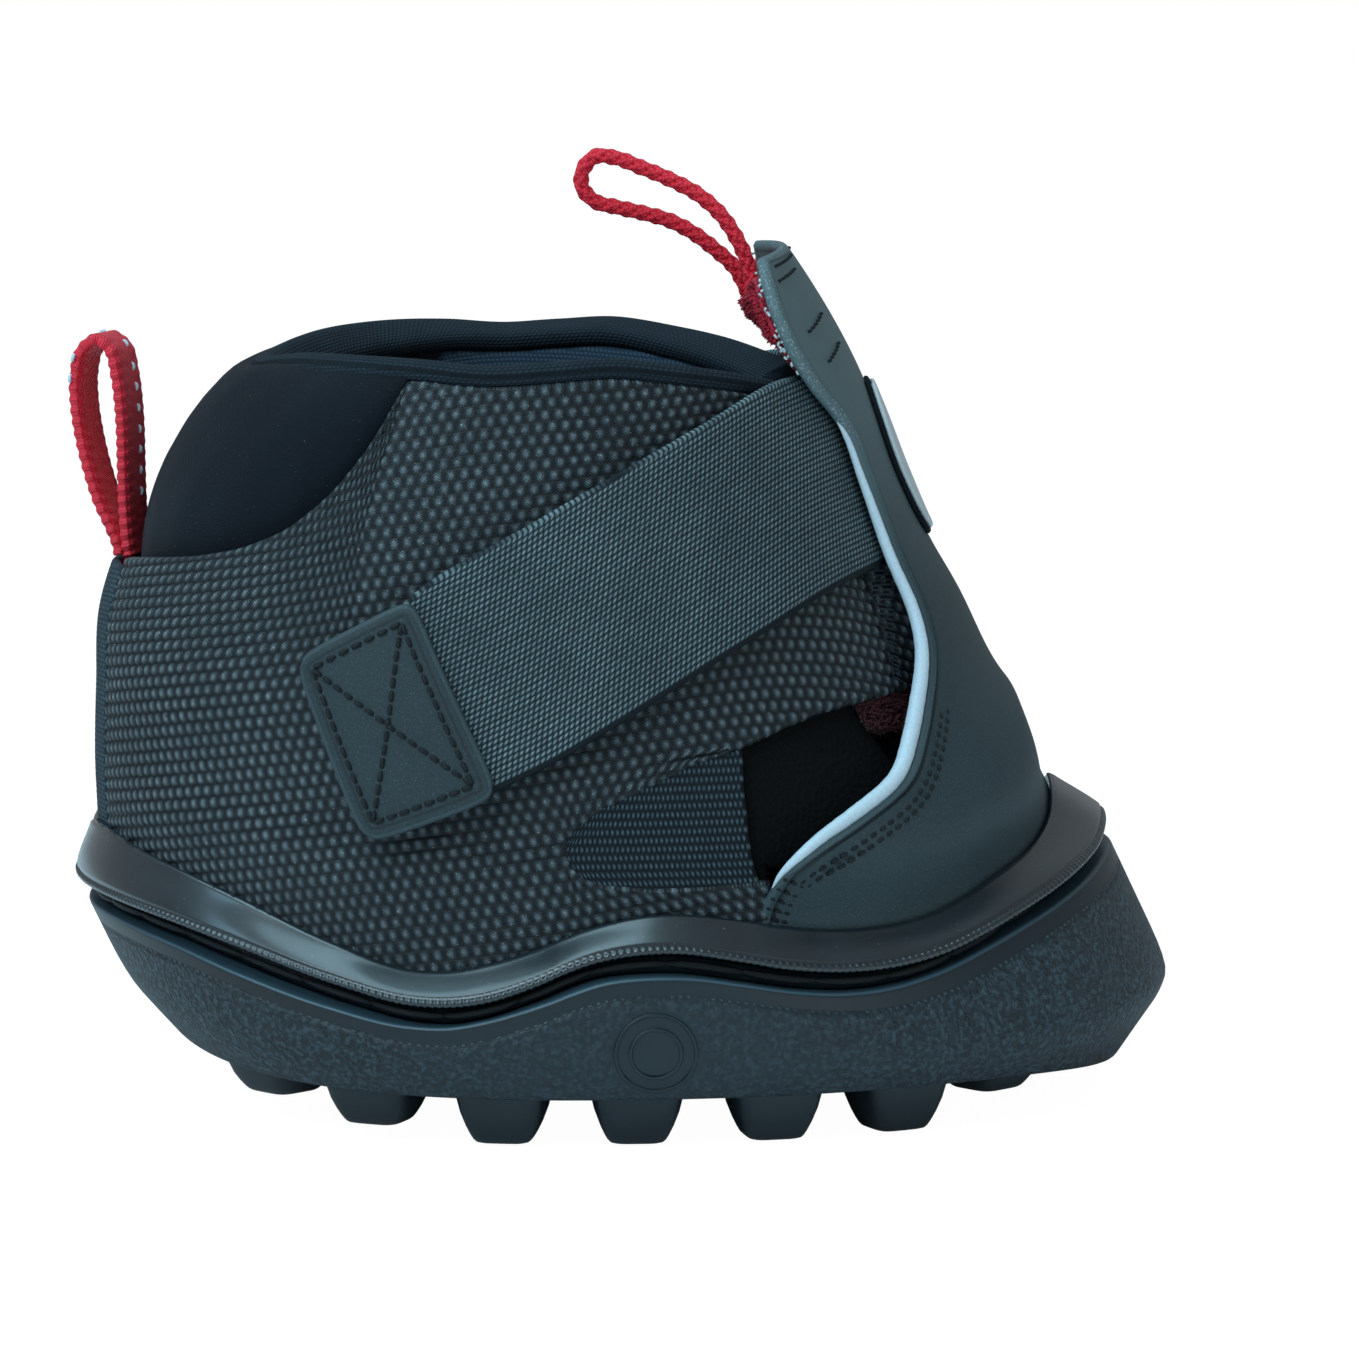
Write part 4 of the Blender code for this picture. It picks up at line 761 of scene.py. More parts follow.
LOOKS = {
    "panel_nylon": panel_nylon(),
    "strap_webbing": strap_webbing(),
    "elastic_knit": elastic_knit(),
    "binding_knit": knit_tape("binding_knit", "#121b22", "#2b3a45"),
    "stay_tape": knit_tape("stay_tape", "#1d292f", "#4b5a62", 0.9, 0.7),
    "lining_cloth": lining_cloth(),
    "cover_leather": cover_leather(),
    "collar_neoprene": collar_neoprene(),
    "sole_rubber": sole_rubber(),
    "rand_rubber": rand_rubber(),
    "welt_thread": thread("welt_thread", "#05090c", "#141c21"),
    "quarter_foam": foam("quarter_foam", "#020303", "#060708"),
    "insole_foam": foam("insole_foam", "#1a1e21", "#30363a"),
    "counter_board": foam("counter_board", "#2b2823", "#403a33"),
    "piping_silver": piping_silver(),
    "pile_red": red_yarn("pile_red", "#7a0c1c", "#d62a44"),
    # A darker copy of the red pile: painted shade, for the pile seen inside the window.
    "pile_painted_shade": red_yarn("pile_painted_shade", "#120104", "#4a0a15"),
    "loop_red": red_yarn("loop_red", "#b80e22", "#ff3a4e"),
    "cord_red": red_yarn("cord_red", "#cc1228", "#ff3248"),
    "badge_edge": foam("badge_edge", "#0c1114", "#141b1f"),
    "badge_face": badge_face(),
}
print("finishes:", len(LOOKS))

# %% [markdown]
# ## Sole unit
# The outsole is a cup with a wavy lip. A ring is an oval whose reaches and heights are shares of the
# sole's size, and the profile is rounded at each ring by a small parabola.

# %% Sole sizes
SOLE_TOE_LENGTH = TOE_LENGTH + 0.0067
SOLE_HEEL_LENGTH = HEEL_LENGTH + 0.0021
SOLE_HALF_WIDTH = HALF_WIDTH + 0.0055
SOLE_HEIGHT = 0.0365
LUG_HEIGHT = 0.0072
CUP_FLOOR = 0.0120
CUP_CLEARANCE = 0.0005
SOLE_STATIONS = 480
RING_CORRECTIONS = 4
CORNER_STEPS = 4
WAVE_SHARES = np.array((
    (0.000, 0.985, 1.080, 1.250), (0.040, 0.972, 1.055, 1.205), (0.080, 0.940, 1.010, 1.130),
    (0.130, 0.885, 0.950, 1.050), (0.172, 0.828, 0.890, 0.995), (0.193, 0.797, 0.858, 0.965),
    (0.228, 0.737, 0.797, 0.905), (0.272, 0.658, 0.723, 0.848), (0.307, 0.617, 0.690, 0.832),
    (0.339, 0.608, 0.685, 0.838), (0.369, 0.626, 0.703, 0.862), (0.402, 0.664, 0.746, 0.898),
    (0.428, 0.692, 0.775, 0.916), (0.450, 0.698, 0.777, 0.910), (0.478, 0.682, 0.748, 0.872),
    (0.515, 0.597, 0.657, 0.784), (0.552, 0.526, 0.589, 0.722), (0.576, 0.498, 0.570, 0.697),
    (0.602, 0.499, 0.572, 0.696), (0.657, 0.560, 0.641, 0.784), (0.730, 0.662, 0.758, 0.934),
    (0.780, 0.726, 0.815, 1.008), (0.839, 0.766, 0.850, 1.065), (0.876, 0.778, 0.860, 1.098),
    (0.940, 0.776, 0.862, 1.100), (1.000, 0.772, 0.860, 1.060),
))
LIP, RAND_LOW, RAND_HIGH = 1, 2, 3
# Rings of the sole: toe, heel and half width as shares of its reaches, then heights at side, toe and heel
SOLE_RING_SHARES = (
    (0.020, 0.020, 0.020, 0.197, 0.197, 0.197), (0.600, 0.600, 0.700, 0.197, 0.150, 0.197),
    (0.860, 0.740, 0.860, 0.197, 0.096, 0.197), (0.905, 0.835, 0.945, 0.197, 0.100, 0.260),
    (0.990, 0.880, 0.985, 0.300, 0.397, 0.370), (1.000, 0.930, 1.000, 0.420, 0.470, 0.490),
)
SOLE_LIP_SHARES = (0.892, 0.994, 1.000)


def wave(turn, column):
    return smooth_read(WAVE_SHARES, column, side_turn(turn)) * SOLE_HEIGHT


def sole_ring(shares, turn):
    toe, heel, side, side_height, toe_height, heel_height = shares
    x, y = oval(turn, toe * SOLE_TOE_LENGTH, -heel * SOLE_HEEL_LENGTH, side * SOLE_HALF_WIDTH, -SET_BACK / 2)
    along = np.cos(np.pi * turn)
    end_height = np.where(along > 0, toe_height, heel_height)
    power = np.where(along > 0, 8, 4)
    height = side_height + (end_height - side_height) * np.abs(along) ** power
    return np.stack([x, y, height * SOLE_HEIGHT], axis=-1)


def last_ring(turn, height, lift):
    """A ring at the heights given, found by correcting the rise until the lifted surface has them."""
    rise = np.asarray(height) / UPPER_HEIGHT
    for _ in range(RING_CORRECTIONS):
        place = on_last(turn, rise, lift)
        rise = rise + (height - place[:, 2]) / UPPER_HEIGHT
    place = on_last(turn, rise, lift)
    place[:, 2] = height
    return place


def rounded_profile(rings, radii, spans):
    """Rings with soft corners: at each, a parabola that starts and ends one radius away from it.

    spans says how many even steps fill the straight run before each ring.
    """
    bend = np.linspace(0, 1, CORNER_STEPS + 1)
    made = [rings[0]]
    for k in range(1, len(rings) - 1):
        here, before, after = rings[k], rings[k - 1], rings[k + 1]
        to_before, to_after = before - here, after - here
        share_before = np.clip(radii[k] / np.maximum(np.linalg.norm(to_before, axis=-1), 1e-9), 0, 0.45)
        share_after = np.clip(radii[k] / np.maximum(np.linalg.norm(to_after, axis=-1), 1e-9), 0, 0.45)
        start = here + to_before * share_before[:, None]
        end = here + to_after * share_after[:, None]
        last = made[-1]
        made += [last + (start - last) * t for t in np.linspace(0, 1, spans[k] + 1)[1:-1]]
        made += [(1 - t) ** 2 * start + 2 * (1 - t) * t * here + t**2 * end for t in bend]
    last = made[-1]
    made += [last + (rings[-1] - last) * t for t in np.linspace(0, 1, spans[-1] + 1)[1:]]
    return np.stack(made)


# %% Outsole
SOLE_RADII = (0.0, 0.004, 0.0012, 0.0010, 0.0016, 0.0060, 0.0007, 0.0004, 0.0006, 0.0)
SOLE_SPANS = (0, 4, 4, 2, 4, 3, 14, 3, 4, 3)
# Lugs of one side: turn, foot as a share of the lugs' height, place as a share of the sole's reaches
LUG_SHARES = ((0.105, 0.88, 0.790), (0.195, 0.55, 0.815), (0.283, 0.00, 0.815),
              (0.372, 0.00, 0.815), (0.459, 0.00, 0.815), (0.551, 0.00, 0.815),
              (0.655, 0.27, 0.815), (0.765, 0.60, 0.790))
LUG_LENGTH = 0.0138
LUG_DEPTH = 0.0135
CENTRE_LUG_LENGTH = 0.0160
CENTRE_LUG_WIDTH = 0.0300
CENTRE_LUG_SHARES = (-0.56, -0.28, 0.0, 0.28, 0.56)
LUG_SINK = 0.0030
LUG_STATIONS = 32
LUG_BLUNTNESS = 0.45
# Down a lug: how far down, then its size as a share of the size at its top
LUG_PROFILE = np.array(((0.0, 1.00), (0.30, 0.97), (0.55, 0.88), (0.75, 0.77), (0.88, 0.68), (0.95, 0.62),
                        (0.985, 0.57), (1.0, 0.50), (1.0, 0.25), (1.0, 0.02)))
RING_MARK_PLACE = (0.0054, 0.0145)
RING_MARK_RADII = (0.0036, 0.0057)
RING_MARK_HALF_WIDTH = 0.00028
RING_MARK_RISE = 0.00022
RING_MARK_CORRECTIONS = 12
FAR_BELOW_LIP_MM = 9.0


def lug_rings(x, y, angle, foot, length, depth):
    """A block that narrows downwards; each ring is a superellipse, a square with generous corners."""
    theta = full_circle(LUG_STATIONS)
    wide = blunt(np.cos(theta), LUG_BLUNTNESS) * length / 2
    deep = blunt(np.sin(theta), LUG_BLUNTNESS) * depth / 2
    top = LUG_HEIGHT + LUG_SINK
    height = top + (foot - top) * LUG_PROFILE[:, 0]
    size = LUG_PROFILE[:, 1][:, None]
    across, along = size * deep, size * wide
    px = x + along * math.cos(angle) - across * math.sin(angle)
    py = y + along * math.sin(angle) + across * math.cos(angle)
    return np.stack([px, py, np.broadcast_to(height[:, None], px.shape)], axis=-1)


def unpebbled(points, below_lip_mm):
    """Marks for a part of the sole without pebbles or dotted line."""
    flat = np.zeros(np.shape(points)[:2])
    return {"below_lip_mm": flat + below_lip_mm, "pebbled": flat, "along_mm": flat}


def outsole_lugs():
    places = []
    for turn, rise, reach in LUG_SHARES:
        for side in ("right", "left"):
            at = np.array([sided(turn, side), sided(turn, side) + 0.01])
            x, y = oval(at, reach * SOLE_TOE_LENGTH, -reach * SOLE_HEEL_LENGTH, reach * SOLE_HALF_WIDTH,
                        -SET_BACK / 2)
            angle = math.atan2(y[1] - y[0], x[1] - x[0])
            places.append((x[0], y[0], angle, rise * LUG_HEIGHT, LUG_LENGTH, LUG_DEPTH))
    for share in CENTRE_LUG_SHARES:
        places.append((share * SOLE_TOE_LENGTH, 0.0, 0.0, 0.0, CENTRE_LUG_LENGTH, CENTRE_LUG_WIDTH))
    lugs = [lug_rings(*place) for place in places]
    return [loft("lug", lug, LOOKS["sole_rubber"], marks=unpebbled(lug, FAR_BELOW_LIP_MM)) for lug in lugs]


def wall_place(turn, height):
    """A place on the sole's side wall at a height, between the rings that lie below and above it."""
    toe, heel, side = SOLE_LIP_SHARES
    x, y = oval(turn, toe * SOLE_TOE_LENGTH, -heel * SOLE_HEEL_LENGTH, side * SOLE_HALF_WIDTH, -SET_BACK / 2)
    levels = [sole_ring(shares, turn) for shares in SOLE_RING_SHARES[-3:]]
    levels.append(np.stack([x, y, wave(turn, LIP)], axis=-1))
    place = levels[0]
    for low, high in zip(levels, levels[1:]):
        share = ((height - low[..., 2]) / (high[..., 2] - low[..., 2]))[..., None]
        place = np.where(share > 0, low + (high - low) * share, place)
    return place


def ring_mark(side, radius):
    """A low moulded ring on the side wall: a flattened torus laid on the wall."""
    theta, section = full_circle(64), full_circle(8)
    x0, z0 = RING_MARK_PLACE
    spread = radius + RING_MARK_HALF_WIDTH * np.cos(section)[:, None]
    x = x0 + spread * np.cos(theta)
    z = z0 + spread * np.sin(theta)
    turn = np.full_like(x, 0.45)
    for _ in range(RING_MARK_CORRECTIONS):
        turn = turn + (wall_place(turn, z)[..., 0] - x) / (math.pi * SOLE_TOE_LENGTH)
    place = wall_place(turn, z)
    out = -(RING_MARK_RISE * np.sin(section))[:, None]
    y = place[..., 1] + out
    if side == "left":
        y = -y
    rings = np.stack([x, y, z], axis=-1).transpose(1, 0, 2)
    return loft("ring_mark", rings, LOOKS["sole_rubber"], close=True,
                marks=unpebbled(rings, FAR_BELOW_LIP_MM))


def make_outsole():
    """Rings from the tread up the wall, over the lip and down into the cup."""
    turn = np.linspace(0, 2, SOLE_STATIONS, endpoint=False)
    lip = wave(turn, LIP)
    rings = [sole_ring(shares, turn) for shares in SOLE_RING_SHARES]
    rings.append(wall_place(turn, lip))
    rings.append(last_ring(turn, lip, CUP_CLEARANCE))
    rings.append(last_ring(turn, CUP_FLOOR, CUP_CLEARANCE))
    floor = rings[-1] * 0.02
    floor[:, 2] = CUP_FLOOR
    rings.append(floor)
    points = rounded_profile(rings, SOLE_RADII, SOLE_SPANS)
    rows = np.arange(len(points))[:, None]
    below = (lip[None, :] - points[..., 2]) / MM
    along = np.broadcast_to(run_length(points[20:21], 1), below.shape)
    outside = (rows > 12) & (rows < len(points) - 16)
    middle = np.hypot(points[..., 0] - RING_MARK_PLACE[0], points[..., 2] - RING_MARK_PLACE[1])
    pebbled = outside * smooth_step(middle, RING_MARK_RADII[1], RING_MARK_RADII[1] + 0.0015)
    sole = loft("outsole_body", points, LOOKS["sole_rubber"],
                marks={"below_lip_mm": below, "pebbled": pebbled, "along_mm": along})
    marks = [ring_mark(side, radius) for side in ("right", "left") for radius in RING_MARK_RADII]
    wear(joined("moulded_outsole", [sole] + outsole_lugs() + marks), "root", "sole_rubber", "outsole")


make_outsole()

# %% [markdown]
# ## Welt and rand
# Between the sole's lip and the rand runs a narrow groove with a long stitch in it. The rand is a glossy
# band that laps the upper and sweeps out towards its lower edge, which carries a row of tiny beads from
# the mould. The beads are real: at this distance they break the band's outline.

# %% Rand and welt
RAND_STATIONS = 2400
RAND_FLARE_TOE = 0.0064
RAND_FLARE_SIDE = 0.0046
RAND_THICKNESS = 0.0012
RAND_SWEEP_ROWS = 16
BEAD_RADIUS = 0.00062
BEAD_PITCH_MM = 1.05
BEAD_ANGLES = np.radians((95, 60, 25, -10, -45, -80, -115, -150))
WELT_INNER = 0.0006
WELT_DEPTH = 0.0024
THREAD_RADIUS = 0.00062
STITCH_PITCH_MM = 11.0


def make_rand():
    """A closed profile round the last: up the inner face, then out and down to its beads."""
    turn = np.linspace(0, 2, RAND_STATIONS, endpoint=False)
    low, high = wave(turn, RAND_LOW), wave(turn, RAND_HIGH)
    toe_share = np.clip(np.cos(np.pi * turn), 0, 1) ** 3
    flare = RAND_FLARE_SIDE + (RAND_FLARE_TOE - RAND_FLARE_SIDE) * toe_share
    inner = CUP_CLEARANCE
    along = run_length(last_ring(turn, low, flare)[None], 1)[0]
    rings = [last_ring(turn, low, inner), last_ring(turn, high, inner),
             last_ring(turn, high + 0.0001, inner + 0.35 * RAND_THICKNESS)]
    bead_low = low + 2 * BEAD_RADIUS + 0.0004
    for share in np.linspace(0, 1, RAND_SWEEP_ROWS):
        height = high - 0.0002 + (bead_low - high + 0.0002) * share
        sweep = 0.80 * share + 0.20 * smooth_step(share)
        lift = inner + 0.75 * RAND_THICKNESS + (flare - inner - 0.75 * RAND_THICKNESS) * sweep
        rings.append(last_ring(turn, height, lift))
    notch = 0.72 + 0.28 * np.abs(np.sin(np.pi * along / BEAD_PITCH_MM)) ** 0.7
    radius = BEAD_RADIUS * notch
    for angle in BEAD_ANGLES:
        rings.append(last_ring(turn, low + BEAD_RADIUS + radius * math.sin(angle),
                               flare + radius * math.cos(angle) - 0.0001))
    wear(loft("lapped_rand", rings, LOOKS["rand_rubber"], close=True), "root", "rand_rubber", "rand")


def make_welt():
    """A strip in the groove, and a thread that is pinched at each stitch."""
    turn = np.linspace(0, 2, SOLE_STATIONS, endpoint=False)
    low, high = wave(turn, LIP) + 0.0003, wave(turn, RAND_LOW) - 0.0005
    rings = [last_ring(turn, low, WELT_INNER), last_ring(turn, low, WELT_DEPTH),
             last_ring(turn, high, WELT_DEPTH), last_ring(turn, high, WELT_INNER)]
    welt = loft("welt_strip", rings, LOOKS["sole_rubber"], close=True, marks=unpebbled(rings, 0.0))
    wear(welt, "root", "sole_rubber", "welt")
    turn = np.linspace(0, 2, RAND_STATIONS, endpoint=False)
    middle = (wave(turn, LIP) + wave(turn, RAND_LOW)) / 2
    centre = WELT_DEPTH + THREAD_RADIUS
    along = run_length(last_ring(turn, middle, centre)[None], 1)[0]
    dip = np.abs(np.sin(np.pi * along / STITCH_PITCH_MM)) ** 0.22
    radius = THREAD_RADIUS * (0.25 + 0.75 * dip)
    rings = [last_ring(turn, middle + radius * math.sin(angle), centre - THREAD_RADIUS * (1 - dip)
                       + radius * math.cos(angle)) for angle in full_circle(8)]
    wear(loft("welt_stitches", rings, LOOKS["welt_thread"], close=True), "root", "welt_thread", "welt_thread")


# Groups of frayed ends: turn, spread over the turn, and count
FRAY_GROUPS = ((0.575, 0.020, 16), (0.86, 0.030, 18), (0.70, 0.05, 10), (0.46, 0.03, 8))
FRAY_LIFT = 0.0012
FRAY_LENGTH, FRAY_RADIUS = 0.0006, 0.00010
GLINT_RISES = (0.846, 0.957)
GLINT_COUNT = 26
GLINT_DEPTH = 0.0016
GLINT_LENGTH, GLINT_RADIUS = 0.0008, 0.00021


def make_fray(side):
    """Cut ends of yarn along the rand's upper edge: pale specks in small groups."""
    chance = np.random.default_rng(3)
    folded = np.concatenate([chance.normal(place, width, count) for place, width, count in FRAY_GROUPS])
    turn = sided(folded, side)
    height = wave(turn, RAND_HIGH) + chance.normal(0.0003, 0.0002, len(turn))
    place = last_ring(turn, height, FRAY_LIFT)
    out = last_normal(turn, height / UPPER_HEIGHT)
    spin = chance.normal(0, 1, (len(turn), 3))
    tangent = square_to(spin, out)
    piece = beans(f"fray_{side}", place, tangent, out, FRAY_LENGTH, FRAY_RADIUS, LOOKS["stay_tape"])
    wear(piece, "root", "stay_tape")


def make_glints(side):
    """Pale beans where the pile meets the flap's rear edge: painted glints on the pile."""
    chance = np.random.default_rng(8)
    edge, along, inside, out = cover_frame(side, np.sort(chance.uniform(*GLINT_RISES, GLINT_COUNT)))
    place = edge - out * (GLINT_DEPTH + 0.0003 * chance.normal(0, 1, (GLINT_COUNT, 1))) - inside * 0.0003
    tangent = unit(along + chance.normal(0, 0.8, (GLINT_COUNT, 3)))
    piece = beans(f"glints_{side}", place, tangent, -inside, GLINT_LENGTH, GLINT_RADIUS, LOOKS["badge_face"])
    wear(piece, "flap", "badge_face")


make_rand()
make_welt()

# %% [markdown]
# ## Side panels
# A side panel is L-shaped: tall behind the window in the hoof wall, and a front part above it, with a
# notch for the elastic. One grid covers all of it. Its rows are led by the edges that it has to follow,
# and the faces that fall in the window or the notch are left out.

# %% Side panels
COLLAR_SHARES = ((0.00, 0.842), (0.13, 0.843), (0.178, 0.851), (0.256, 0.867), (0.32, 0.877), (0.402, 0.887),
                 (0.469, 0.883), (0.537, 0.879), (0.626, 0.885), (0.731, 0.887), (0.88, 0.879),
                 (0.926, 0.872), (1.00, 0.869))
PAD_SEAM_SHARES = ((0.631, 0.851), (0.642, 0.800), (0.656, 0.757), (0.690, 0.698), (0.730, 0.667),
                   (0.780, 0.650), (0.835, 0.641), (0.875, 0.636), (0.908, 0.632), (1.00, 0.628))
WINDOW_TOP_SHARES = ((0.110, 0.500), (0.187, 0.496), (0.231, 0.493), (0.276, 0.486), (0.315, 0.472),
                     (0.357, 0.452), (0.368, 0.448))
WINDOW_REAR_SHARES = ((0.28, 0.376), (0.30, 0.375), (0.323, 0.377), (0.357, 0.376), (0.401, 0.370),
                      (0.453, 0.357))
ELASTIC_LOW_SHARES = ((0.368, 0.298), (0.410, 0.294), (0.442, 0.293), (0.474, 0.299), (0.486, 0.309),
                      (0.492, 0.324))
ELASTIC_HIGH_SHARES = ((0.368, 0.443), (0.400, 0.430), (0.430, 0.409), (0.466, 0.384), (0.484, 0.362),
                       (0.492, 0.345))
PANEL_FRONT_TURN, WINDOW_TURN, NOTCH_TURN, PANEL_REAR_TURN = 0.116, 0.368, 0.492, 0.908
FRONT_REACH = 0.0023
BINDING_HEIGHT = 0.0034
LAYER_GAP = 0.0004
PANEL_THICKNESS = 0.0015
FOAM_THICKNESS = 0.0025
LINING_THICKNESS = 0.0010
PANEL_FOOT_DROP, LAYER_FOOT_DROP = 0.003, 0.006
LAYER_FRONT_TURN, FOAM_REAR_TURN, LINING_REAR_TURN = 0.146, 0.690, 0.998
REACH_END_TURN = 0.160
OVERLOCK_LIFT = 0.00045
PANEL_COLUMNS = (120, 62, 178)
PANEL_ROWS = (24, 24, 20, 90)


def collar_rise(turn):
    return smooth_read(COLLAR_SHARES, 1, side_turn(turn))


def panel_top(turn):
    """The pad's seam at the back, the underside of the binding in front."""
    folded = side_turn(turn)
    under_binding = collar_rise(folded) - (BINDING_HEIGHT + LAYER_GAP) / UPPER_HEIGHT
    seam = smooth_read(PAD_SEAM_SHARES, 1, folded)
    return np.where(folded > PAD_SEAM_SHARES[0][0], np.minimum(seam, under_binding), under_binding)


def stacked_rows(curves, counts):
    """Rises of a stack of rows: even steps from each leading curve to the next."""
    made = [low + np.arange(count)[:, None] / count * (high - low)
            for low, high, count in zip(curves, curves[1:], counts)]
    return np.concatenate(made + [curves[-1][None, :]])


def side_grid(columns, rows, front, rear, foot_drop):
    """Turns and rises of a side's grid, and which of its faces exist."""
    front_count, notch_count, rear_count = columns
    turn = np.concatenate([np.linspace(front, WINDOW_TURN, front_count + 1),
                           np.linspace(WINDOW_TURN, NOTCH_TURN, notch_count + 1)[1:],
                           np.linspace(NOTCH_TURN, rear, rear_count + 1)[1:]])
    foot = (wave(turn, RAND_HIGH) - foot_drop) / UPPER_HEIGHT
    behind = smooth_step(turn, NOTCH_TURN, rear)
    notch_low = straight_read(ELASTIC_LOW_SHARES, turn) - 0.0004 / UPPER_HEIGHT + behind * 0.04
    notch_high = straight_read(ELASTIC_HIGH_SHARES, turn) + 0.0004 / UPPER_HEIGHT + behind * 0.07
    window = np.where(turn < WINDOW_TURN, straight_read(WINDOW_TOP_SHARES, turn), 0.4485 + behind * 0.02)
    top = panel_top(turn)
    rise = stacked_rows([foot, notch_low, notch_high, window, top], rows)
    keep = np.ones((rise.shape[0] - 1, rise.shape[1] - 1), bool)
    keep[:sum(rows[:3]), :front_count] = False
    keep[rows[0]:rows[0] + rows[1], :front_count + notch_count] = False
    return np.broadcast_to(turn, rise.shape), rise, keep


def cloth_run(points, turn):
    """Distances in millimetres along the cloth: towards the toe from mid-side, and upwards."""
    forward = -run_length(points, 1)
    middle = np.abs(turn[0] - 0.56).argmin()
    forward = forward - forward[:, middle:middle + 1]
    upward = run_length(points, 0)
    level = points[:, middle, 2].searchsorted(0.06)
    upward = upward - upward[level:level + 1] + points[level:level + 1, :, 2] / MM
    return forward, upward


def row_coordinates(forward, upward):
    """Along and across the rows, which climb towards the toe and level off in front of the elastic."""
    beyond = np.maximum(forward - ROW_BEND_START_MM, 0)
    climb = ROW_SLOPE * forward - ROW_BEND * beyond**2
    return forward + ROW_SLOPE * upward, upward - climb


def front_reach(turn):
    """How far the panel's front comes out, towards the flap."""
    return FRONT_REACH * (1 - smooth_step(turn, PANEL_FRONT_TURN, REACH_END_TURN))


def make_panel(side):
    """The side's grid, raised by the knots' height."""
    turn, rise, keep = side_grid(PANEL_COLUMNS, PANEL_ROWS, PANEL_FRONT_TURN, PANEL_REAR_TURN,
                                 PANEL_FOOT_DROP)
    lift = front_reach(turn) * smooth_step(rise, 0.84, 0.70)
    turn = sided(turn, side)
    base = on_last(turn, rise, lift)
    normal = last_normal(turn, rise)
    u, v = row_coordinates(*cloth_run(base, side_turn(turn)))
    relief = KNOT_RELIEF * (knot_dome(u, v) - 0.35)
    panel = slab(f"nylon_panel_{side}", base, normal, PANEL_THICKNESS, LOOKS["panel_nylon"], relief,
                 np.stack([u, v], axis=-1), keep=keep, every=2)
    wear(panel, "root", "panel_nylon", f"side_panel_{side}")


def side_layer(name, side, lift, wall, rear, look, node):
    """A plain layer behind the panel: foam, or the lining that the hoof touches."""
    turn, rise, keep = side_grid((36, 14, 60), (6, 6, 4, 24), LAYER_FRONT_TURN, rear, LAYER_FOOT_DROP)
    turn = sided(turn, side)
    keep[6:12, 36:50] = True
    keep[7:, 14:36] = True
    keep[:, :14] = rise[1:, :14] > 0.46
    base = on_last(turn, rise, lift)
    forward, upward = cloth_run(base, side_turn(turn))
    piece = slab(name, base, last_normal(turn, rise), wall, LOOKS[look], 0.0,
                 np.stack([forward, upward], axis=-1), keep=keep)
    wear(piece, "root", look, node)


for side in ("right", "left"):
    make_panel(side)
    foam_lift = -(PANEL_THICKNESS + LAYER_GAP)
    lining_lift = foam_lift - FOAM_THICKNESS - LAYER_GAP
    side_layer(f"foam_layer_{side}", side, foam_lift, FOAM_THICKNESS, FOAM_REAR_TURN, "quarter_foam",
               f"quarter_foam_{side}")
    side_layer(f"lining_layer_{side}", side, lining_lift, LINING_THICKNESS, LINING_REAR_TURN, "lining_cloth",
               f"quarter_lining_{side}")

# %% [markdown]
# ## Elastic, stay tape and patches
# These are short bands between two edges. Both edges are curves through a few places, walked at the same
# pace, and the band's grid runs straight across from one to the other.

# %% Bands
def edge_walk(table, columns):
    """Places along an edge at an even pace, as a smooth curve through its points."""
    points = np.array(table)
    run = np.hypot(np.diff(points[:, 0]) * math.pi * HALF_WIDTH / UPPER_HEIGHT, np.diff(points[:, 1]))
    place = np.concatenate([[0], np.cumsum(run)]) / run.sum()
    path = np.column_stack([place, points])
    share = np.linspace(0, 1, columns + 1)
    return smooth_read(path, 1, share), smooth_read(path, 2, share)


def band(low_table, high_table, columns, rows, corner=0.0):
    """Turns and rises between two edges; corner draws the four corners in, which rounds them."""
    low_turn, low_rise = edge_walk(low_table, columns)
    high_turn, high_rise = edge_walk(high_table, columns)
    share = np.linspace(0, 1, rows + 1)[:, None] + 0 * low_turn
    turn = low_turn + share * (high_turn - low_turn)
    rise = low_rise + share * (high_rise - low_rise)
    if corner:
        a, b = np.linspace(-1, 1, columns + 1)[None, :], np.linspace(-1, 1, rows + 1)[:, None]
        pull = corner * np.abs(a * b) ** 8
        turn = turn + (turn.mean() - turn) * pull
        rise = rise + (rise.mean() - rise) * pull
    return turn, rise


def band_spread(base):
    """Distances along and across a band, in millimetres, each measured from the first edge."""
    return np.stack([run_length(base, 1), run_length(base, 0)], axis=-1)


def border_distance(base):
    """Distance of each point from the nearest edge of its grid, in millimetres."""
    along, across = run_length(base, 1), run_length(base, 0)
    return np.minimum.reduce([along, along[:, -1:] - along, across, across[-1:] - across])


ELASTIC_COLUMNS, ELASTIC_ROWS = 160, 72
ELASTIC_FRONT_TURN = 0.3675
ELASTIC_LIFT = -0.0003
ELASTIC_WALL = 0.0011
PATCH_WALL = 0.0006
STAY_TURN, STAY_TOP = 0.086, 0.618
STAY_LIFT = 0.0002
STAY_WALL = 0.0016
STAY_CELL_MM = 0.9
# Each patch: its lower and its upper edge, in turns and rises, and its lift
SIDE_PATCH = (((0.470, 0.485), (0.545, 0.418), (0.612, 0.368)),
              ((0.500, 0.655), (0.580, 0.600), (0.645, 0.540)), 0.0010)
HOOK_PATCH = (((0.522, 0.442), (0.568, 0.407), (0.610, 0.377)),
              ((0.562, 0.588), (0.600, 0.562), (0.640, 0.532)), 0.0019)


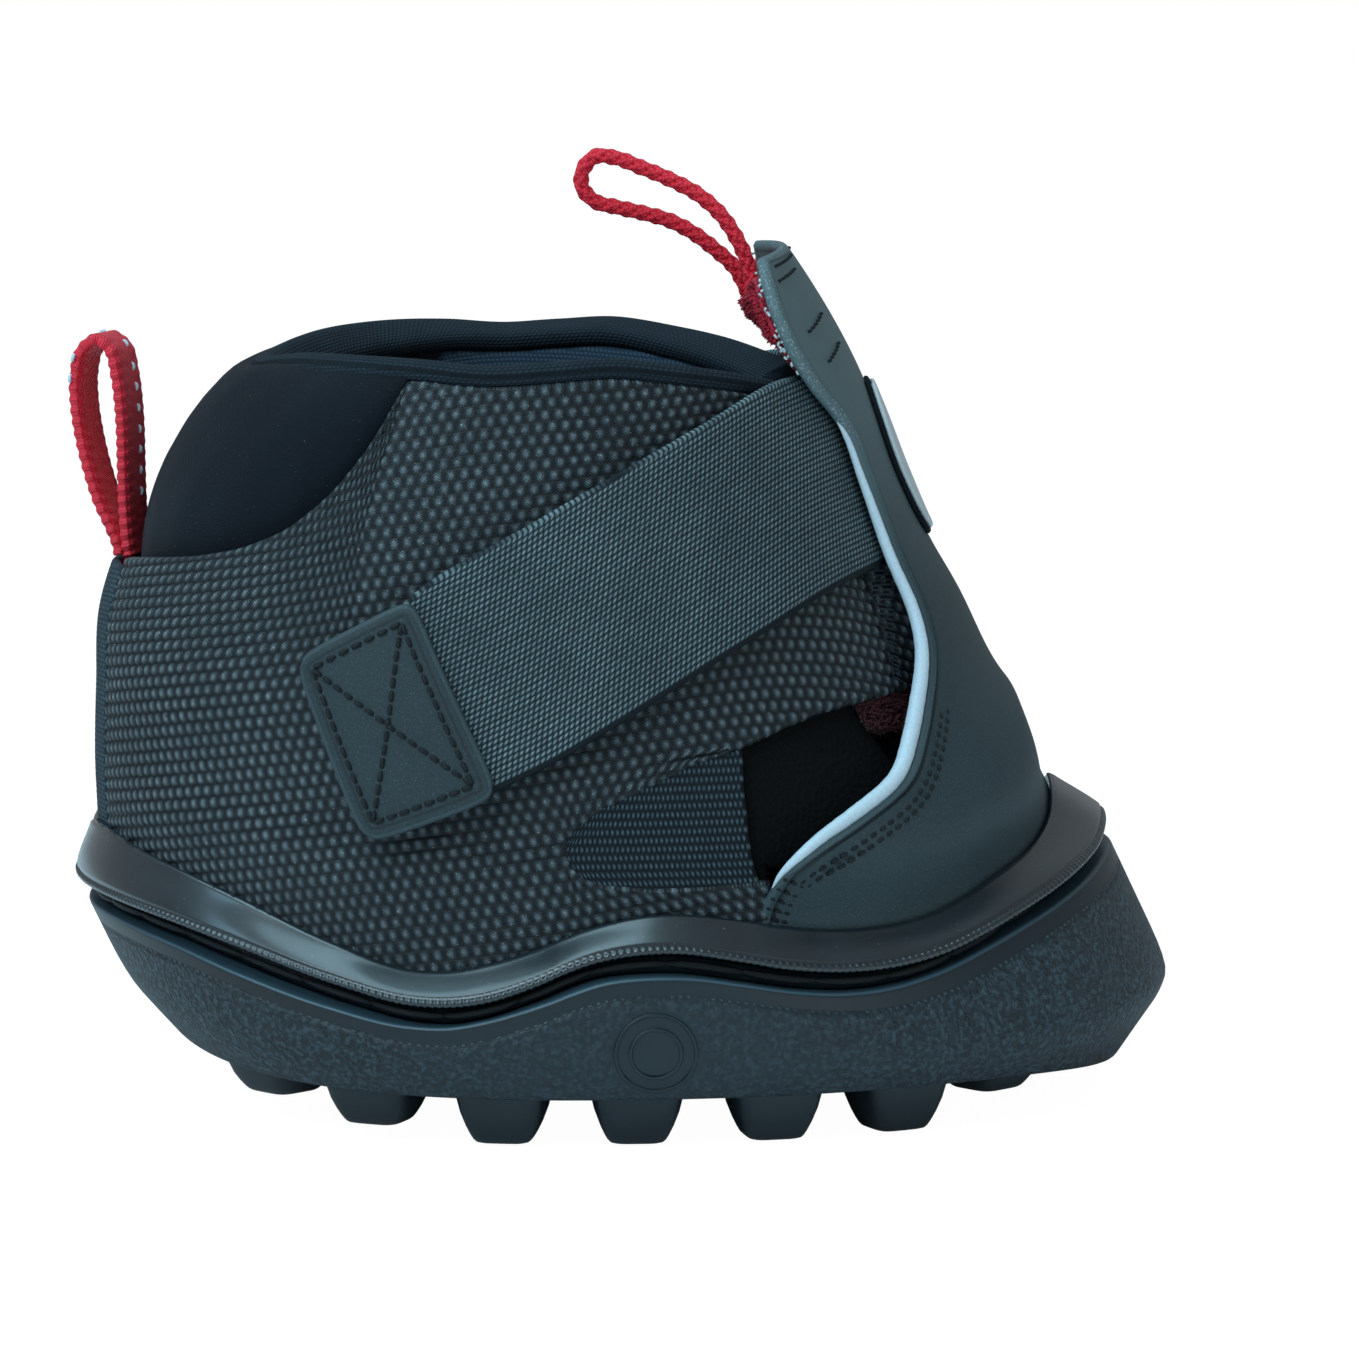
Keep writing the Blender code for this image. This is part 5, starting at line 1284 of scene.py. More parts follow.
def make_elastic(side):
    """A grid between two edges, bent to the window's rear edge and raised by its cells."""
    turn = np.linspace(ELASTIC_FRONT_TURN, NOTCH_TURN, ELASTIC_COLUMNS + 1)
    low = straight_read(ELASTIC_LOW_SHARES, turn)
    high = straight_read(ELASTIC_HIGH_SHARES, turn)
    rise = low + np.linspace(0, 1, ELASTIC_ROWS + 1)[:, None] * (high - low)
    ahead = (NOTCH_TURN - turn) / (NOTCH_TURN - turn[0])
    turn = turn + (straight_read(WINDOW_REAR_SHARES, rise) - turn[0]) * ahead**2
    turn = sided(turn, side)
    base = on_last(turn, rise, ELASTIC_LIFT)
    forward, upward = run_length(base, 1), rise * UPPER_HEIGHT / MM
    relief = ELASTIC_RELIEF * brick_dome(forward, upward, ELASTIC_COLUMN_MM, ELASTIC_ROW_MM)
    piece = slab(f"woven_elastic_{side}", base, last_normal(turn, rise), ELASTIC_WALL, LOOKS["elastic_knit"],
                 relief, np.stack([forward, upward], axis=-1), every=2)
    wear(piece, "root", "elastic_knit", f"elastic_insert_{side}")


def make_patch(side, name, shape, body, node):
    low, high, lift = shape
    turn, rise = band(low, high, 40, 24, corner=0.06)
    turn = sided(turn, side)
    base = on_last(turn, rise, lift)
    piece = slab(f"{name}_{side}", base, last_normal(turn, rise), PATCH_WALL, LOOKS["binding_knit"], 0.0,
                 band_spread(base))
    wear(piece, body, "binding_knit", f"{node}_{side}")


def make_stay():
    """A tape over the back seam, from the rand up to the pad, raised by small cells."""
    turn = np.linspace(1.0 - STAY_TURN, 1.0 + STAY_TURN, 60)
    foot = (wave(turn, RAND_HIGH) - 0.002) / UPPER_HEIGHT
    rise = foot + np.linspace(0, 1, 120)[:, None] * (STAY_TOP - foot)
    turn = np.broadcast_to(turn, rise.shape)
    base = on_last(turn, rise, STAY_LIFT)
    spread = band_spread(base)
    relief = 0.0001 * brick_dome(spread[..., 1], spread[..., 0], STAY_CELL_MM, STAY_CELL_MM)
    piece = slab("heel_stay_tape", base, last_normal(turn, rise), STAY_WALL, LOOKS["stay_tape"], relief,
                 spread)
    wear(piece, "root", "stay_tape", "heel_stay")


for side in ("right", "left"):
    make_elastic(side)
    make_patch(side, "side_loops", SIDE_PATCH, "root", "side_loop_patch")
    make_patch(side, "strap_hooks", HOOK_PATCH, f"strap_{side}", "strap_hook_patch")
make_stay()

# %% [markdown]
# ## Heel collar pad and its binding
# The pad is neoprene over foam: a crowned band round the heel that is drawn in at its lower seam. The
# binding is a soft tape folded over the top edge of the whole collar.

# %% Pad and binding
PAD_CROWN = 0.0016
PAD_TUCK = 0.0034
PAD_SHOULDER = 0.0019
PAD_DEPTH = 0.0062
PAD_ROWS = 48
BINDING_TURN = 0.140
BINDING_STATIONS = 700
BINDING_HALF_WALL = 0.0035


PAD_SIM_EVERY = 4
PAD_SIM_STEPS = 20
PAD_SIM_CAP = 0.0007
PAD_PRESSURE = 1200.0
PAD_STRETCH_STIFFNESS = 5.0
PAD_BEND_STIFFNESS = 0.1


def finer(field, count, wrap):
    """Rows of a field read at more places along its first axis, on smooth curves through them."""
    flat = field.reshape(len(field), -1)
    if wrap:
        flat = np.concatenate([flat, flat[:1]])
    table = np.column_stack([np.arange(len(flat)), flat])
    where = np.linspace(0, len(flat) - 1, count + wrap)[:count]
    read = [smooth_read(table, k + 1, where) for k in range(flat.shape[1])]
    return np.stack(read, axis=1).reshape(count, *field.shape[1:])


def puffed(rings):
    """The pad after its foam has pressed its cloth out: Blender's cloth on every fourth point.

    The inner face and the seams are held. The moves found, none longer than the cap, are spread over
    all points.
    """
    coarse = rings[::PAD_SIM_EVERY, ::PAD_SIM_EVERY]
    trial = loft("pad_trial", coarse, LOOKS["collar_neoprene"])
    along, around = coarse.shape[:2]
    number = np.arange(along * around).reshape(along, around)
    held = np.zeros((along, around), bool)
    held[:2] = held[-2:] = True
    held[:, :1] = held[:, around // 2 - 1:] = True
    trial.vertex_groups.new(name="held").add(number[held].tolist(), 1.0, "REPLACE")
    cloth = trial.modifiers.new("cloth", "CLOTH")
    cloth.settings.vertex_group_mass = "held"
    cloth.settings.use_pressure = True
    cloth.settings.uniform_pressure_force = PAD_PRESSURE
    cloth.settings.tension_stiffness = cloth.settings.compression_stiffness = PAD_STRETCH_STIFFNESS
    cloth.settings.bending_stiffness = PAD_BEND_STIFFNESS
    cloth.settings.effector_weights.gravity = 0.0
    cloth.point_cache.frame_end = PAD_SIM_STEPS
    for step in range(1, PAD_SIM_STEPS + 1):
        bpy.context.scene.frame_set(step)
    shaped = trial.evaluated_get(bpy.context.evaluated_depsgraph_get()).data
    found = np.empty(along * around * 3)
    shaped.vertices.foreach_get("co", found)
    move = found.reshape(along, around, 3) - coarse
    size = np.linalg.norm(move, axis=-1, keepdims=True)
    move = move * np.minimum(1.0, PAD_SIM_CAP / np.maximum(size, 1e-9))
    most, mean = (round(float(value / MM), 2) for value in (size.max(), size.mean()))
    print("the pad's cloth moved at most", most, "mm, mean", mean)
    bpy.data.objects.remove(trial)
    bpy.context.scene.frame_set(1)
    move = finer(move, rings.shape[0], False)
    move = finer(move.transpose(1, 0, 2), rings.shape[1], True).transpose(1, 0, 2)
    return rings + move


def make_pad():
    """A closed body: rings run up the outer face, over the top, down the inner face and back below."""
    half = np.concatenate([np.linspace(0.636, 0.700, 70), np.linspace(0.700, 1.0, 100)[1:]])
    turn = np.concatenate([half, (2.0 - half)[::-1][1:]])
    folded = side_turn(turn)
    low = smooth_read(PAD_SEAM_SHARES, 1, folded - 0.0028) + LAYER_GAP / UPPER_HEIGHT
    high = collar_rise(turn) - (BINDING_HEIGHT - 0.0012) / UPPER_HEIGHT
    up = np.linspace(0, 1, PAD_ROWS)[:, None]
    fill = (high - low) / (high - low).max()
    crown = PAD_CROWN * np.sin(np.pi * up) ** 0.6 * fill * (1 - 0.7 * smooth_step(folded, 0.86, 1.0))
    shoulder = PAD_SHOULDER * bell(up, 0.88, 0.25) * smooth_step(folded, 0.76, 0.92)
    crown = crown + shoulder * np.sqrt(1 - 0.8 * np.clip((up - 0.9) / 0.1, 0, 1) ** 2)
    tuck = PAD_TUCK * (1 - up) ** 3.0 * fill
    wrinkle = 0.00012 * np.sin(folded * 90 + 5 * up) * np.sin(np.pi * up) * fill
    outer = on_last(turn, low + up * (high - low), crown - tuck + wrinkle - LAYER_GAP)
    inner = on_last(turn, low + up * (high - low), -PAD_DEPTH - 0.6 * np.minimum(crown, PAD_CROWN))
    rings = np.concatenate([outer, inner[::-1]])
    rings = puffed(rings.transpose(1, 0, 2)).transpose(1, 0, 2)
    forward = np.broadcast_to(run_length(outer[:1], 1), rings.shape[:2])
    upward = run_length(rings, 0)
    pad = loft("neoprene_pad", rings.transpose(1, 0, 2), LOOKS["collar_neoprene"],
               np.stack([forward, upward], axis=-1).transpose(1, 0, 2))
    wear(pad, "root", "collar_neoprene", "heel_collar_pad")


def make_binding():
    """A blunt closed profile carried along the collar, with a shallow groove at its seam."""
    turn = np.linspace(BINDING_TURN, 2.0 - BINDING_TURN, BINDING_STATIONS)
    high = collar_rise(turn)
    theta = full_circle(24)[:, None]
    half_wall, half_height = BINDING_HALF_WALL, BINDING_HEIGHT / 2
    lift = 0.0004 - half_wall + half_wall * blunt(np.cos(theta), 0.55)
    reach = blunt(np.sin(theta), 0.75)
    rise = high - (half_height - half_height * reach) / UPPER_HEIGHT
    seam = 0.00016 * bell(theta, 5.9, 0.22)
    rings = on_last(turn, rise, lift - seam)
    along = np.broadcast_to(run_length(rings[:1], 1), rings.shape[:2])
    spread = np.stack([along, run_length(rings, 0)], axis=-1)
    piece = loft("knit_binding", rings.transpose(1, 0, 2), LOOKS["binding_knit"], spread.transpose(1, 0, 2))
    wear(piece, "root", "binding_knit", "collar_binding")


make_pad()
make_binding()

# %% [markdown]
# ## Cover: vamp and flap in one skin
# On the real boot one piece of synthetic leather runs from the toe to the top of the flap. The frame has
# a joint across it, but the skin is made in one piece as the boot stands, and rides on no body.

# %% Cover skin
COVER_THICKNESS = 0.0020
COVER_WALL = 0.0015
COVER_LIFT = 0.0049
COVER_RAMP = 0.0120
FOLD_RISE = 0.525
FLAP_TOP = 0.968
# Rise and turn of the cover's rear edge
COVER_EDGE_SHARES = np.array((
    (0.100, 0.369), (0.285, 0.366), (0.304, 0.358), (0.329, 0.337), (0.354, 0.306), (0.384, 0.264),
    (0.425, 0.226), (0.472, 0.188), (0.522, 0.158), (0.570, 0.144), (0.620, 0.138), (0.680, 0.134),
    (0.730, 0.134), (0.776, 0.138), (0.800, 0.150), (0.825, 0.167), (0.853, 0.179), (0.887, 0.183),
    (0.925, 0.176), (0.955, 0.160), (0.968, 0.148), (1.000, 0.118),
))
COVER_COLUMNS = 168
COVER_ROWS = 220
CROWDING = 0.86
TOP_CORNER_DROP = 0.004


def cover_lift(turn, rise):
    """Flush under the rand, then out over the hoof wall within the ramp's height."""
    return COVER_LIFT * smooth_step(rise * UPPER_HEIGHT - wave(turn, RAND_HIGH), 0.0, COVER_RAMP)


def cover_edge(rise):
    return smooth_read(COVER_EDGE_SHARES, 1, rise)


def across(rise_low, rise_high, rows, columns):
    """Turns and rises of rows across the cover, from edge to edge; the top corners drop a little."""
    up = np.linspace(rise_low, rise_high, rows)[:, None]
    over = np.sin(np.linspace(-1, 1, columns) * np.pi / 2 * CROWDING) / math.sin(np.pi / 2 * CROWDING)
    height = np.clip((up - FOLD_RISE) / (FLAP_TOP - FOLD_RISE), 0, 1)
    rise = up - TOP_CORNER_DROP * over**2 * height**4
    return cover_edge(up) * over, rise


def make_cover():
    """Rows from edge to edge; smooth hills of the distance from the edge give its rim."""
    turn, rise = across(0.15, FLAP_TOP, COVER_ROWS, COVER_COLUMNS)
    lift = cover_lift(turn, rise)
    base = on_last(turn, rise, lift)
    side_run = run_length(base, 1)
    from_edge = np.minimum(side_run, side_run[:, -1:] - side_run)
    from_top = run_length(base, 0)[-1:] - run_length(base, 0)
    edge = np.minimum(from_edge, from_top + 0.4)
    upper = smooth_step(rise, 0.80, 0.84)
    rolled = 0.00038 * bell(from_edge, 0.55, 0.34) - 0.00042 * bell(from_edge, 1.30, 0.34)
    folded = 0.00030 * (1 - smooth_step(from_edge, 0.8, 1.2)) - 0.00030 * bell(from_edge, 1.45, 0.32)
    relief = rolled * (1 - upper) + folded * upper
    spread = np.stack([side_run, run_length(base, 0)], axis=-1)
    cover = slab("cover_skin", base, last_normal(turn, rise), COVER_WALL, LOOKS["cover_leather"], relief,
                 spread, {"edge_mm": edge}, every=1)
    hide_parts("vamp", "flap")
    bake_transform(cover)


make_cover()

# %% Piping
PIPING_SHARES = np.array((
    (0.289, 0.15), (0.303, 0.40), (0.320, 0.68), (0.340, 0.90), (0.390, 1.08), (0.429, 1.12), (0.472, 1.06),
    (0.520, 0.96), (0.560, 0.88), (0.603, 0.80), (0.650, 0.74), (0.700, 0.62), (0.740, 0.50), (0.776, 0.36),
    (0.790, 0.18),
))
PIPING_RADIUS = 0.00108
PIPING_SINK = 0.0009


def tube_rings(path, radius, sides, lean):
    """Rings round a path: each lies in the plane across it, turned by the lean vector."""
    tangent = unit(np.gradient(path, axis=0))
    first = unit(np.cross(tangent, lean))
    second = np.cross(tangent, first)
    theta = full_circle(sides)[None, :, None]
    radius = np.broadcast_to(radius, len(path))[:, None, None]
    ring = np.cos(theta) * first[:, None] + np.sin(theta) * second[:, None]
    return path[:, None] + radius * ring


def make_piping(side):
    """A round section carried behind the cover's edge; its radius changes with the rise."""
    rise = np.linspace(PIPING_SHARES[0, 0], PIPING_SHARES[-1, 0], 700)
    turn = cover_edge(rise)
    radius = smooth_read(PIPING_SHARES, 1, rise) * PIPING_RADIUS
    lift = cover_lift(turn, rise) - PIPING_SINK
    edge = on_last(sided(turn, side), rise, lift)
    rear = on_last(sided(turn + 0.01, side), rise, lift) - edge
    along = unit(np.gradient(edge, axis=0))
    rear = square_to(rear, along)
    path = edge + rear * (radius + 0.0004)[:, None]
    walked = run_length(path[None], 1)[0]
    rib = 1 + 0.010 * np.sin(walked * 1.9) + 0.010 * np.sin(walked * 3.1 + 1.0)
    rings = tube_rings(path, radius * rib, 16, rear.mean(axis=0))
    spread = np.stack(np.broadcast_arrays(walked[:, None], np.linspace(0, 8, 16)[None, :]), axis=-1)
    piping = loft(f"reflective_piping_{side}", rings, LOOKS["piping_silver"], spread)
    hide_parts(f"vamp_piping_{side}", f"flap_piping_{side}")
    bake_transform(piping)


for side in ("right", "left"):
    make_piping(side)

# %% [markdown]
# ## Pile lining and badge
# The flap is lined with a red loop pile. A sheet carries it, and short tufts stand on the sheet: each is
# a thin four-sided spike, leaned a little at random, so the edge of the lining looks fuzzy from the side.

# %% Pile and badge
PILE_WIDTH_SHARES = ((0.525, 0.60), (0.800, 0.57), (0.862, 0.57), (0.892, 0.93), (1.000, 0.93))
PILE_LOW, PILE_HIGH = 0.536, 0.955
TUFT_LENGTH = 0.0011
TUFT_RADIUS = 0.00022
PILE_GROUND = 0.0014
FRINGE_ROWS = slice(68, 90)
FRINGE_LENGTH = 0.0019


def tufts(name, places, normals, count, seed, finish, longest=TUFT_LENGTH):
    """Spikes on random places of a grid: a square foot and a tip that leans off the normal."""
    chance = np.random.default_rng(seed)
    rows, columns = places.shape[:2]
    i = chance.integers(0, rows - 1, count)
    j = chance.integers(0, columns - 1, count)
    a, b = chance.random((2, count, 1))
    foot = places[i, j] * (1 - a) + places[i + 1, j] * a
    foot = foot + (places[i, j + 1] - places[i, j]) * b
    out = normals[i, j]
    lean = unit(out + chance.normal(0, 0.45, (count, 3)))
    first = unit(np.cross(out, [0.3, 0.2, 0.9]))
    second = np.cross(out, first)
    length = longest * (0.5 + 0.5 * chance.random((count, 1)))
    corners = [foot + (first * c + second * s) * TUFT_RADIUS for c, s in ((1, 0), (0, 1), (-1, 0), (0, -1))]
    waist = [corner + lean * length * 0.6 for corner in corners]
    tip = foot + lean * length
    points = np.stack(corners + waist + [tip], axis=1)
    base = (np.arange(count) * 9)[:, None, None]
    sides = np.array([(k, (k + 1) % 4, 4 + (k + 1) % 4, 4 + k) for k in range(4)])[None] + base
    tops = np.array([(4 + k, 4 + (k + 1) % 4, 8) for k in range(4)])[None] + base
    feet = np.array([(3, 2, 1, 0)])[None] + base
    spread = np.zeros((count, 9, 2))
    spread[:, :, 0] = chance.random((count, 1)) * 8
    return mesh_piece(name, points, [sides.reshape(-1, 4), tops.reshape(-1, 3), feet.reshape(-1, 4)], finish,
                      spread)


def make_flap_lining():
    """The ground, pile over its inner face, and a fringe that shows beside the flap's edge."""
    turn, rise = across(PILE_LOW, PILE_HIGH, 90, 50)
    turn = turn * straight_read(PILE_WIDTH_SHARES, rise)
    lift = COVER_LIFT - COVER_THICKNESS - LAYER_GAP
    base = on_last(turn, rise, lift)
    normal = last_normal(turn, rise)
    sheet = slab("pile_ground", base, normal, PILE_GROUND, LOOKS["pile_red"], 0.0, band_spread(base))
    fuzz = tufts("pile", base - normal * PILE_GROUND, -normal, 5200, 4, LOOKS["pile_red"])
    fringes = []
    for columns, outermost, innermost in ((slice(0, 3), 0, 2), (slice(-3, None), 2, 0)):
        strip, out = base[FRINGE_ROWS, columns], normal[FRINGE_ROWS, columns]
        aside = unit(strip[:, [outermost]] - strip[:, [innermost]])
        fringes.append(tufts("fringe", strip - out * 0.0010, unit(aside - 0.5 * out), 900, 5,
                             LOOKS["pile_red"], FRINGE_LENGTH))
    wear(joined("flap_pile", [sheet, fuzz] + fringes), "flap", "pile_red", "flap_lining", "front_loop_anchor")


# Rise, then how far the pocket stands off the lining; it is open at the top, where the cord comes out
POCKET_DEPTHS = ((0.832, 0.0028), (0.850, 0.0038), (0.873, 0.0044), (0.910, 0.0051), (0.935, 0.0063),
                 (0.950, 0.0061), (0.955, 0.0020))
POCKET_HALF_TURN, POCKET_ROUND_TURN = 0.058, 0.0585


def make_pocket():
    """Pile tape folded over the foot of the cord and sewn to the flap's lining."""
    turn = np.linspace(-POCKET_HALF_TURN, POCKET_HALF_TURN, 40)[None, :]
    rise = np.linspace(POCKET_DEPTHS[0][0], POCKET_DEPTHS[-1][0], 60)[:, None]
    round_over = np.sqrt(np.clip(1 - (turn / POCKET_ROUND_TURN) ** 2, 0, 1))
    depth = straight_read(POCKET_DEPTHS, rise) * round_over
    lift = COVER_LIFT - COVER_THICKNESS - 2 * LAYER_GAP - 0.0012 - depth
    turn, rise = np.broadcast_arrays(turn, rise)
    base = on_last(turn, rise, lift)
    normal = -last_normal(turn, rise)
    sheet = slab("pocket_ground", base, normal, 0.0006, LOOKS["pile_red"], 0.0, band_spread(base))
    fuzz = tufts("pocket_fuzz", base, normal, 3400, 9, LOOKS["pile_red"], 0.0011)
    wear(joined("cord_pocket", [sheet, fuzz]), "flap", "pile_red")


VAMP_CLOTH = 0.0008


def make_vamp_lining():
    """Dark cloth behind the vamp, with a strip of red pile along its top."""
    turn, rise = across(0.16, 0.500, 60, 90)
    turn = turn * 0.93
    lift = cover_lift(turn, rise) - COVER_THICKNESS - 0.0011
    base = on_last(turn, rise, lift)
    normal = last_normal(turn, rise)
    sheet = slab("vamp_cloth", base, normal, VAMP_CLOTH, LOOKS["lining_cloth"], 0.0, band_spread(base))
    wear(sheet, "root", "lining_cloth", "vamp_lining")
    strip = slice(52, 60)
    inner = base[strip] - normal[strip] * VAMP_CLOTH
    fuzz = tufts("vamp_pile", inner, -normal[strip], 2600, 6, LOOKS["pile_red"])
    wear(fuzz, "root", "pile_red")


BADGE_LOW, BADGE_HIGH = 0.638, 0.815
BADGE_HALF_TURN = 0.056
# Of each plate: name, size as a share, lift over the cover, thickness, finish and node
BADGE_PLATES = (("badge_plate", 1.00, 0.0008, 0.0008, "badge_edge", "badge_base"),
                ("badge_blank", 0.95, 0.0014, 0.0006, "badge_face", "badge_patch"))


def make_badge():
    """An oval plate with straight sides: rows of a grid whose ends are drawn in by a root."""
    up = np.sin(np.linspace(-1, 1, 61) * np.pi / 2)[:, None]
    over = np.linspace(-1, 1, 41)[None, :]
    for name, inset, lift, wall, look, node in BADGE_PLATES:
        turn = BADGE_HALF_TURN * inset * over * np.sqrt(1 - 0.80 * up**2)
        rise = (BADGE_LOW + BADGE_HIGH) / 2 + (BADGE_HIGH - BADGE_LOW) / 2 * inset * up + 0 * over
        base = on_last(turn, rise, COVER_LIFT + lift)
        piece = slab(name, base, last_normal(turn, rise), wall, LOOKS[look], 0.0, band_spread(base))
        wear(piece, "flap", look, node)


make_flap_lining()
make_pocket()
make_vamp_lining()
make_badge()

# %% [markdown]
# ## Straps and tabs
# Each strap is sewn under the flap's edge, runs back over the side and ends in a leather tab. The frame
# turns it about an axis near the flap; the webbing is made in one piece as the boot stands, and rides on no
# body.

# %% Straps
STRAP_HIGH_SHARES = ((0.118, 0.846), (0.160, 0.843), (0.205, 0.8395), (0.328, 0.795), (0.433, 0.736),
                     (0.520, 0.675), (0.574, 0.625), (0.598, 0.590))
STRAP_LOW_SHARES = ((0.118, 0.634), (0.140, 0.632), (0.166, 0.629), (0.228, 0.615), (0.343, 0.560),
                    (0.444, 0.483), (0.502, 0.433), (0.556, 0.391))
STRAP_COLUMNS = 190
STRAP_ROWS = 168
STRAP_ROOT_LIFT = 0.0024
STRAP_TAIL_LIFT = 0.0038
TAB_HIGH_SHARES = ((0.582, 0.612), (0.625, 0.574), (0.661, 0.542))
TAB_LOW_SHARES = ((0.531, 0.401), (0.575, 0.372), (0.617, 0.347))
TAB_LIFT = 0.0054
STRAP_THICKNESS, TAB_THICKNESS = 0.0015, 0.0012
TAB_DARKNESS = 0.30


def make_strap(side):
    """A band between two edges, raised by the weave's cells."""
    turn, rise = band(STRAP_LOW_SHARES, STRAP_HIGH_SHARES, STRAP_COLUMNS, STRAP_ROWS)
    turn = sided(turn, side)
    along = np.linspace(0, 1, STRAP_COLUMNS + 1)[None, :]
    lift = STRAP_ROOT_LIFT + (STRAP_TAIL_LIFT - STRAP_ROOT_LIFT) * smooth_step(along, 0.15, 0.6)
    base = on_last(turn, rise, lift)
    spread = band_spread(base)
    edge = np.minimum(spread[..., 1], spread[-1:, :, 1] - spread[..., 1])
    relief = STRAP_RELIEF * brick_dome(spread[..., 0], spread[..., 1], STRAP_CELL_MM, STRAP_ROW_MM)
    relief = relief - 0.00025 * (1 - smooth_step(edge, 0.0, 0.8))
    strap = slab(f"woven_strap_{side}", base, last_normal(turn, rise), STRAP_THICKNESS,
                 LOOKS["strap_webbing"], relief, spread, every=2)
    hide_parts(f"strap_{side}", f"strap_root_{side}")
    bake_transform(strap)


def make_tab(side):
    """A band with rounded corners, a little lower at its rim."""
    turn, rise = band(TAB_LOW_SHARES, TAB_HIGH_SHARES, 72, 84, corner=0.075)
    turn = sided(turn, side)
    base = on_last(turn, rise, TAB_LIFT)
    edge = border_distance(base)
    relief = -0.00010 * (1 - smooth_step(edge, 0.0, 0.35)) + 0.00006 * smooth_step(edge, 2.5, 5.0)
    tab = slab(f"leather_tab_{side}", base, last_normal(turn, rise), TAB_THICKNESS, LOOKS["cover_leather"],
               relief, band_spread(base), {"edge_mm": edge, "deep": 0 * edge + TAB_DARKNESS})
    wear(tab, f"strap_{side}", "cover_leather", f"strap_tab_{side}")


for side in ("right", "left"):
    make_strap(side)
    make_tab(side)

# %% [markdown]
# ## Stitches
# A stitch is a short bean of thread that dives into the material at both ends. Hundreds are needed, so
# each has a few dozen faces, and numpy sets them all along a path at once.

# %% Stitches
BEAN_ALONG = np.array((-0.50, -0.40, -0.20, 0.0, 0.20, 0.40, 0.50))
BEAN_RISE = np.array((-0.9, -0.25, 0.10, 0.20, 0.10, -0.25, -0.9))
BEAN_SIZE = np.array((0.45, 0.85, 1.0, 1.0, 1.0, 0.85, 0.45))
TAB_PITCH, TAB_THREAD_RADIUS = 0.0019, 0.00036


def beans(name, middles, tangents, normals, length, radius, finish):
    """Beans at the middles: seven rings of six points, closed at both ends."""
    count = len(middles)
    theta = full_circle(6)
    sideways = unit(np.cross(tangents, normals))
    ring_n = np.cos(theta)[None, :] * BEAN_SIZE[:, None] + BEAN_RISE[:, None]
    ring_s = np.sin(theta)[None, :] * BEAN_SIZE[:, None]
    points = (middles[:, None, None] + tangents[:, None, None] * (BEAN_ALONG * length)[None, :, None, None]
              + normals[:, None, None] * (ring_n * radius)[None, :, :, None]
              + sideways[:, None, None] * (ring_s * radius)[None, :, :, None])
    faces = quads(grid_corners(7, 6, wrap=True)).reshape(-1, 4)
    offset = (np.arange(count) * 42)[:, None, None]
    around = (faces[None] + offset).reshape(-1, 4)
    first = (np.arange(6)[None, None] + offset).reshape(-1, 6)
    last = (np.arange(36, 42)[::-1][None, None] + offset).reshape(-1, 6)
    made = facing_outwards(points, [around, first, last])
    spread = np.broadcast_to((BEAN_ALONG * length / MM)[None, :, None, None], (count, 7, 6, 2))
    return mesh_piece(name, points, made, finish, spread)


def stitch_path(turn, rise, lift, pitch, fill=0.72):
    """Middles, tangents and normals of stitches at an even pitch along a path on the last."""
    path = on_last(turn, rise, lift)
    walked = run_length(path[None], 1)[0] * MM
    count = max(int(walked[-1] / pitch), 1)
    at = (np.arange(count) + 0.5) * walked[-1] / count
    middle = np.stack([np.interp(at, walked, path[:, k]) for k in range(3)], axis=1)
    ahead = np.stack([np.interp(at + pitch * 0.2, walked, path[:, k]) for k in range(3)], axis=1)
    behind = np.stack([np.interp(at - pitch * 0.2, walked, path[:, k]) for k in range(3)], axis=1)
    out = last_normal(np.interp(at, walked, turn), np.interp(at, walked, rise))
    return middle, unit(ahead - behind), out, pitch * fill


def sewn(name, paths, radius, body, slot="welt_thread"):
    """All the stitches of one sewing, as one piece."""
    middle, tangent, out = (np.concatenate([path[k] for path in paths]) for k in range(3))
    length = np.mean([path[3] for path in paths])
    piece = beans(name, middle, tangent, out, length, radius, LOOKS[slot])
    if body:
        wear(piece, body, slot)
    return piece


def tab_point(side, along, up):
    """A place on the tab from two shares, along the strap and across it."""
    turn, rise = band(TAB_LOW_SHARES, TAB_HIGH_SHARES, 40, 40)
    i, j = np.asarray(up) * 40, np.asarray(along) * 40
    rows, columns = np.arange(41), np.arange(41)
    turn_here = [np.interp(b, rows, [np.interp(a, columns, row) for row in turn]) for a, b in zip(j, i)]
    rise_here = [np.interp(b, rows, [np.interp(a, columns, row) for row in rise]) for a, b in zip(j, i)]
    return sided(np.array(turn_here), side), np.array(rise_here)


def sew_tab(side):
    """A box seam with a cross in it."""
    a0, a1, b0, b1 = 0.12, 0.90, 0.075, 0.925
    corners = [((a0, b0), (a1, b0)), ((a1, b0), (a1, b1)), ((a1, b1), (a0, b1)), ((a0, b1), (a0, b0)),
               ((a0, b0), (a1, b1)), ((a0, b1), (a1, b0))]
    paths = []
    for (a, b), (c, d) in corners:
        share = np.linspace(0, 1, 24)
        turn, rise = tab_point(side, a + (c - a) * share, b + (d - b) * share)
        paths.append(stitch_path(turn, rise, TAB_LIFT + 0.00012, TAB_PITCH, 0.90))
    sewn(f"tab_stitches_{side}", paths, TAB_THREAD_RADIUS, f"strap_{side}")


def cover_frame(side, rise):
    """Places on the cover's edge, and the directions along the edge, inwards on the cover, and out of it."""
    turn = cover_edge(rise)
    lift = cover_lift(turn, rise)
    edge = on_last(sided(turn, side), rise, lift)
    inside = on_last(sided(turn - 0.01, side), rise, lift) - edge
    along = unit(np.gradient(edge, axis=0))
    inside = square_to(inside, along)
    return edge, along, inside, last_normal(sided(turn, side), rise)


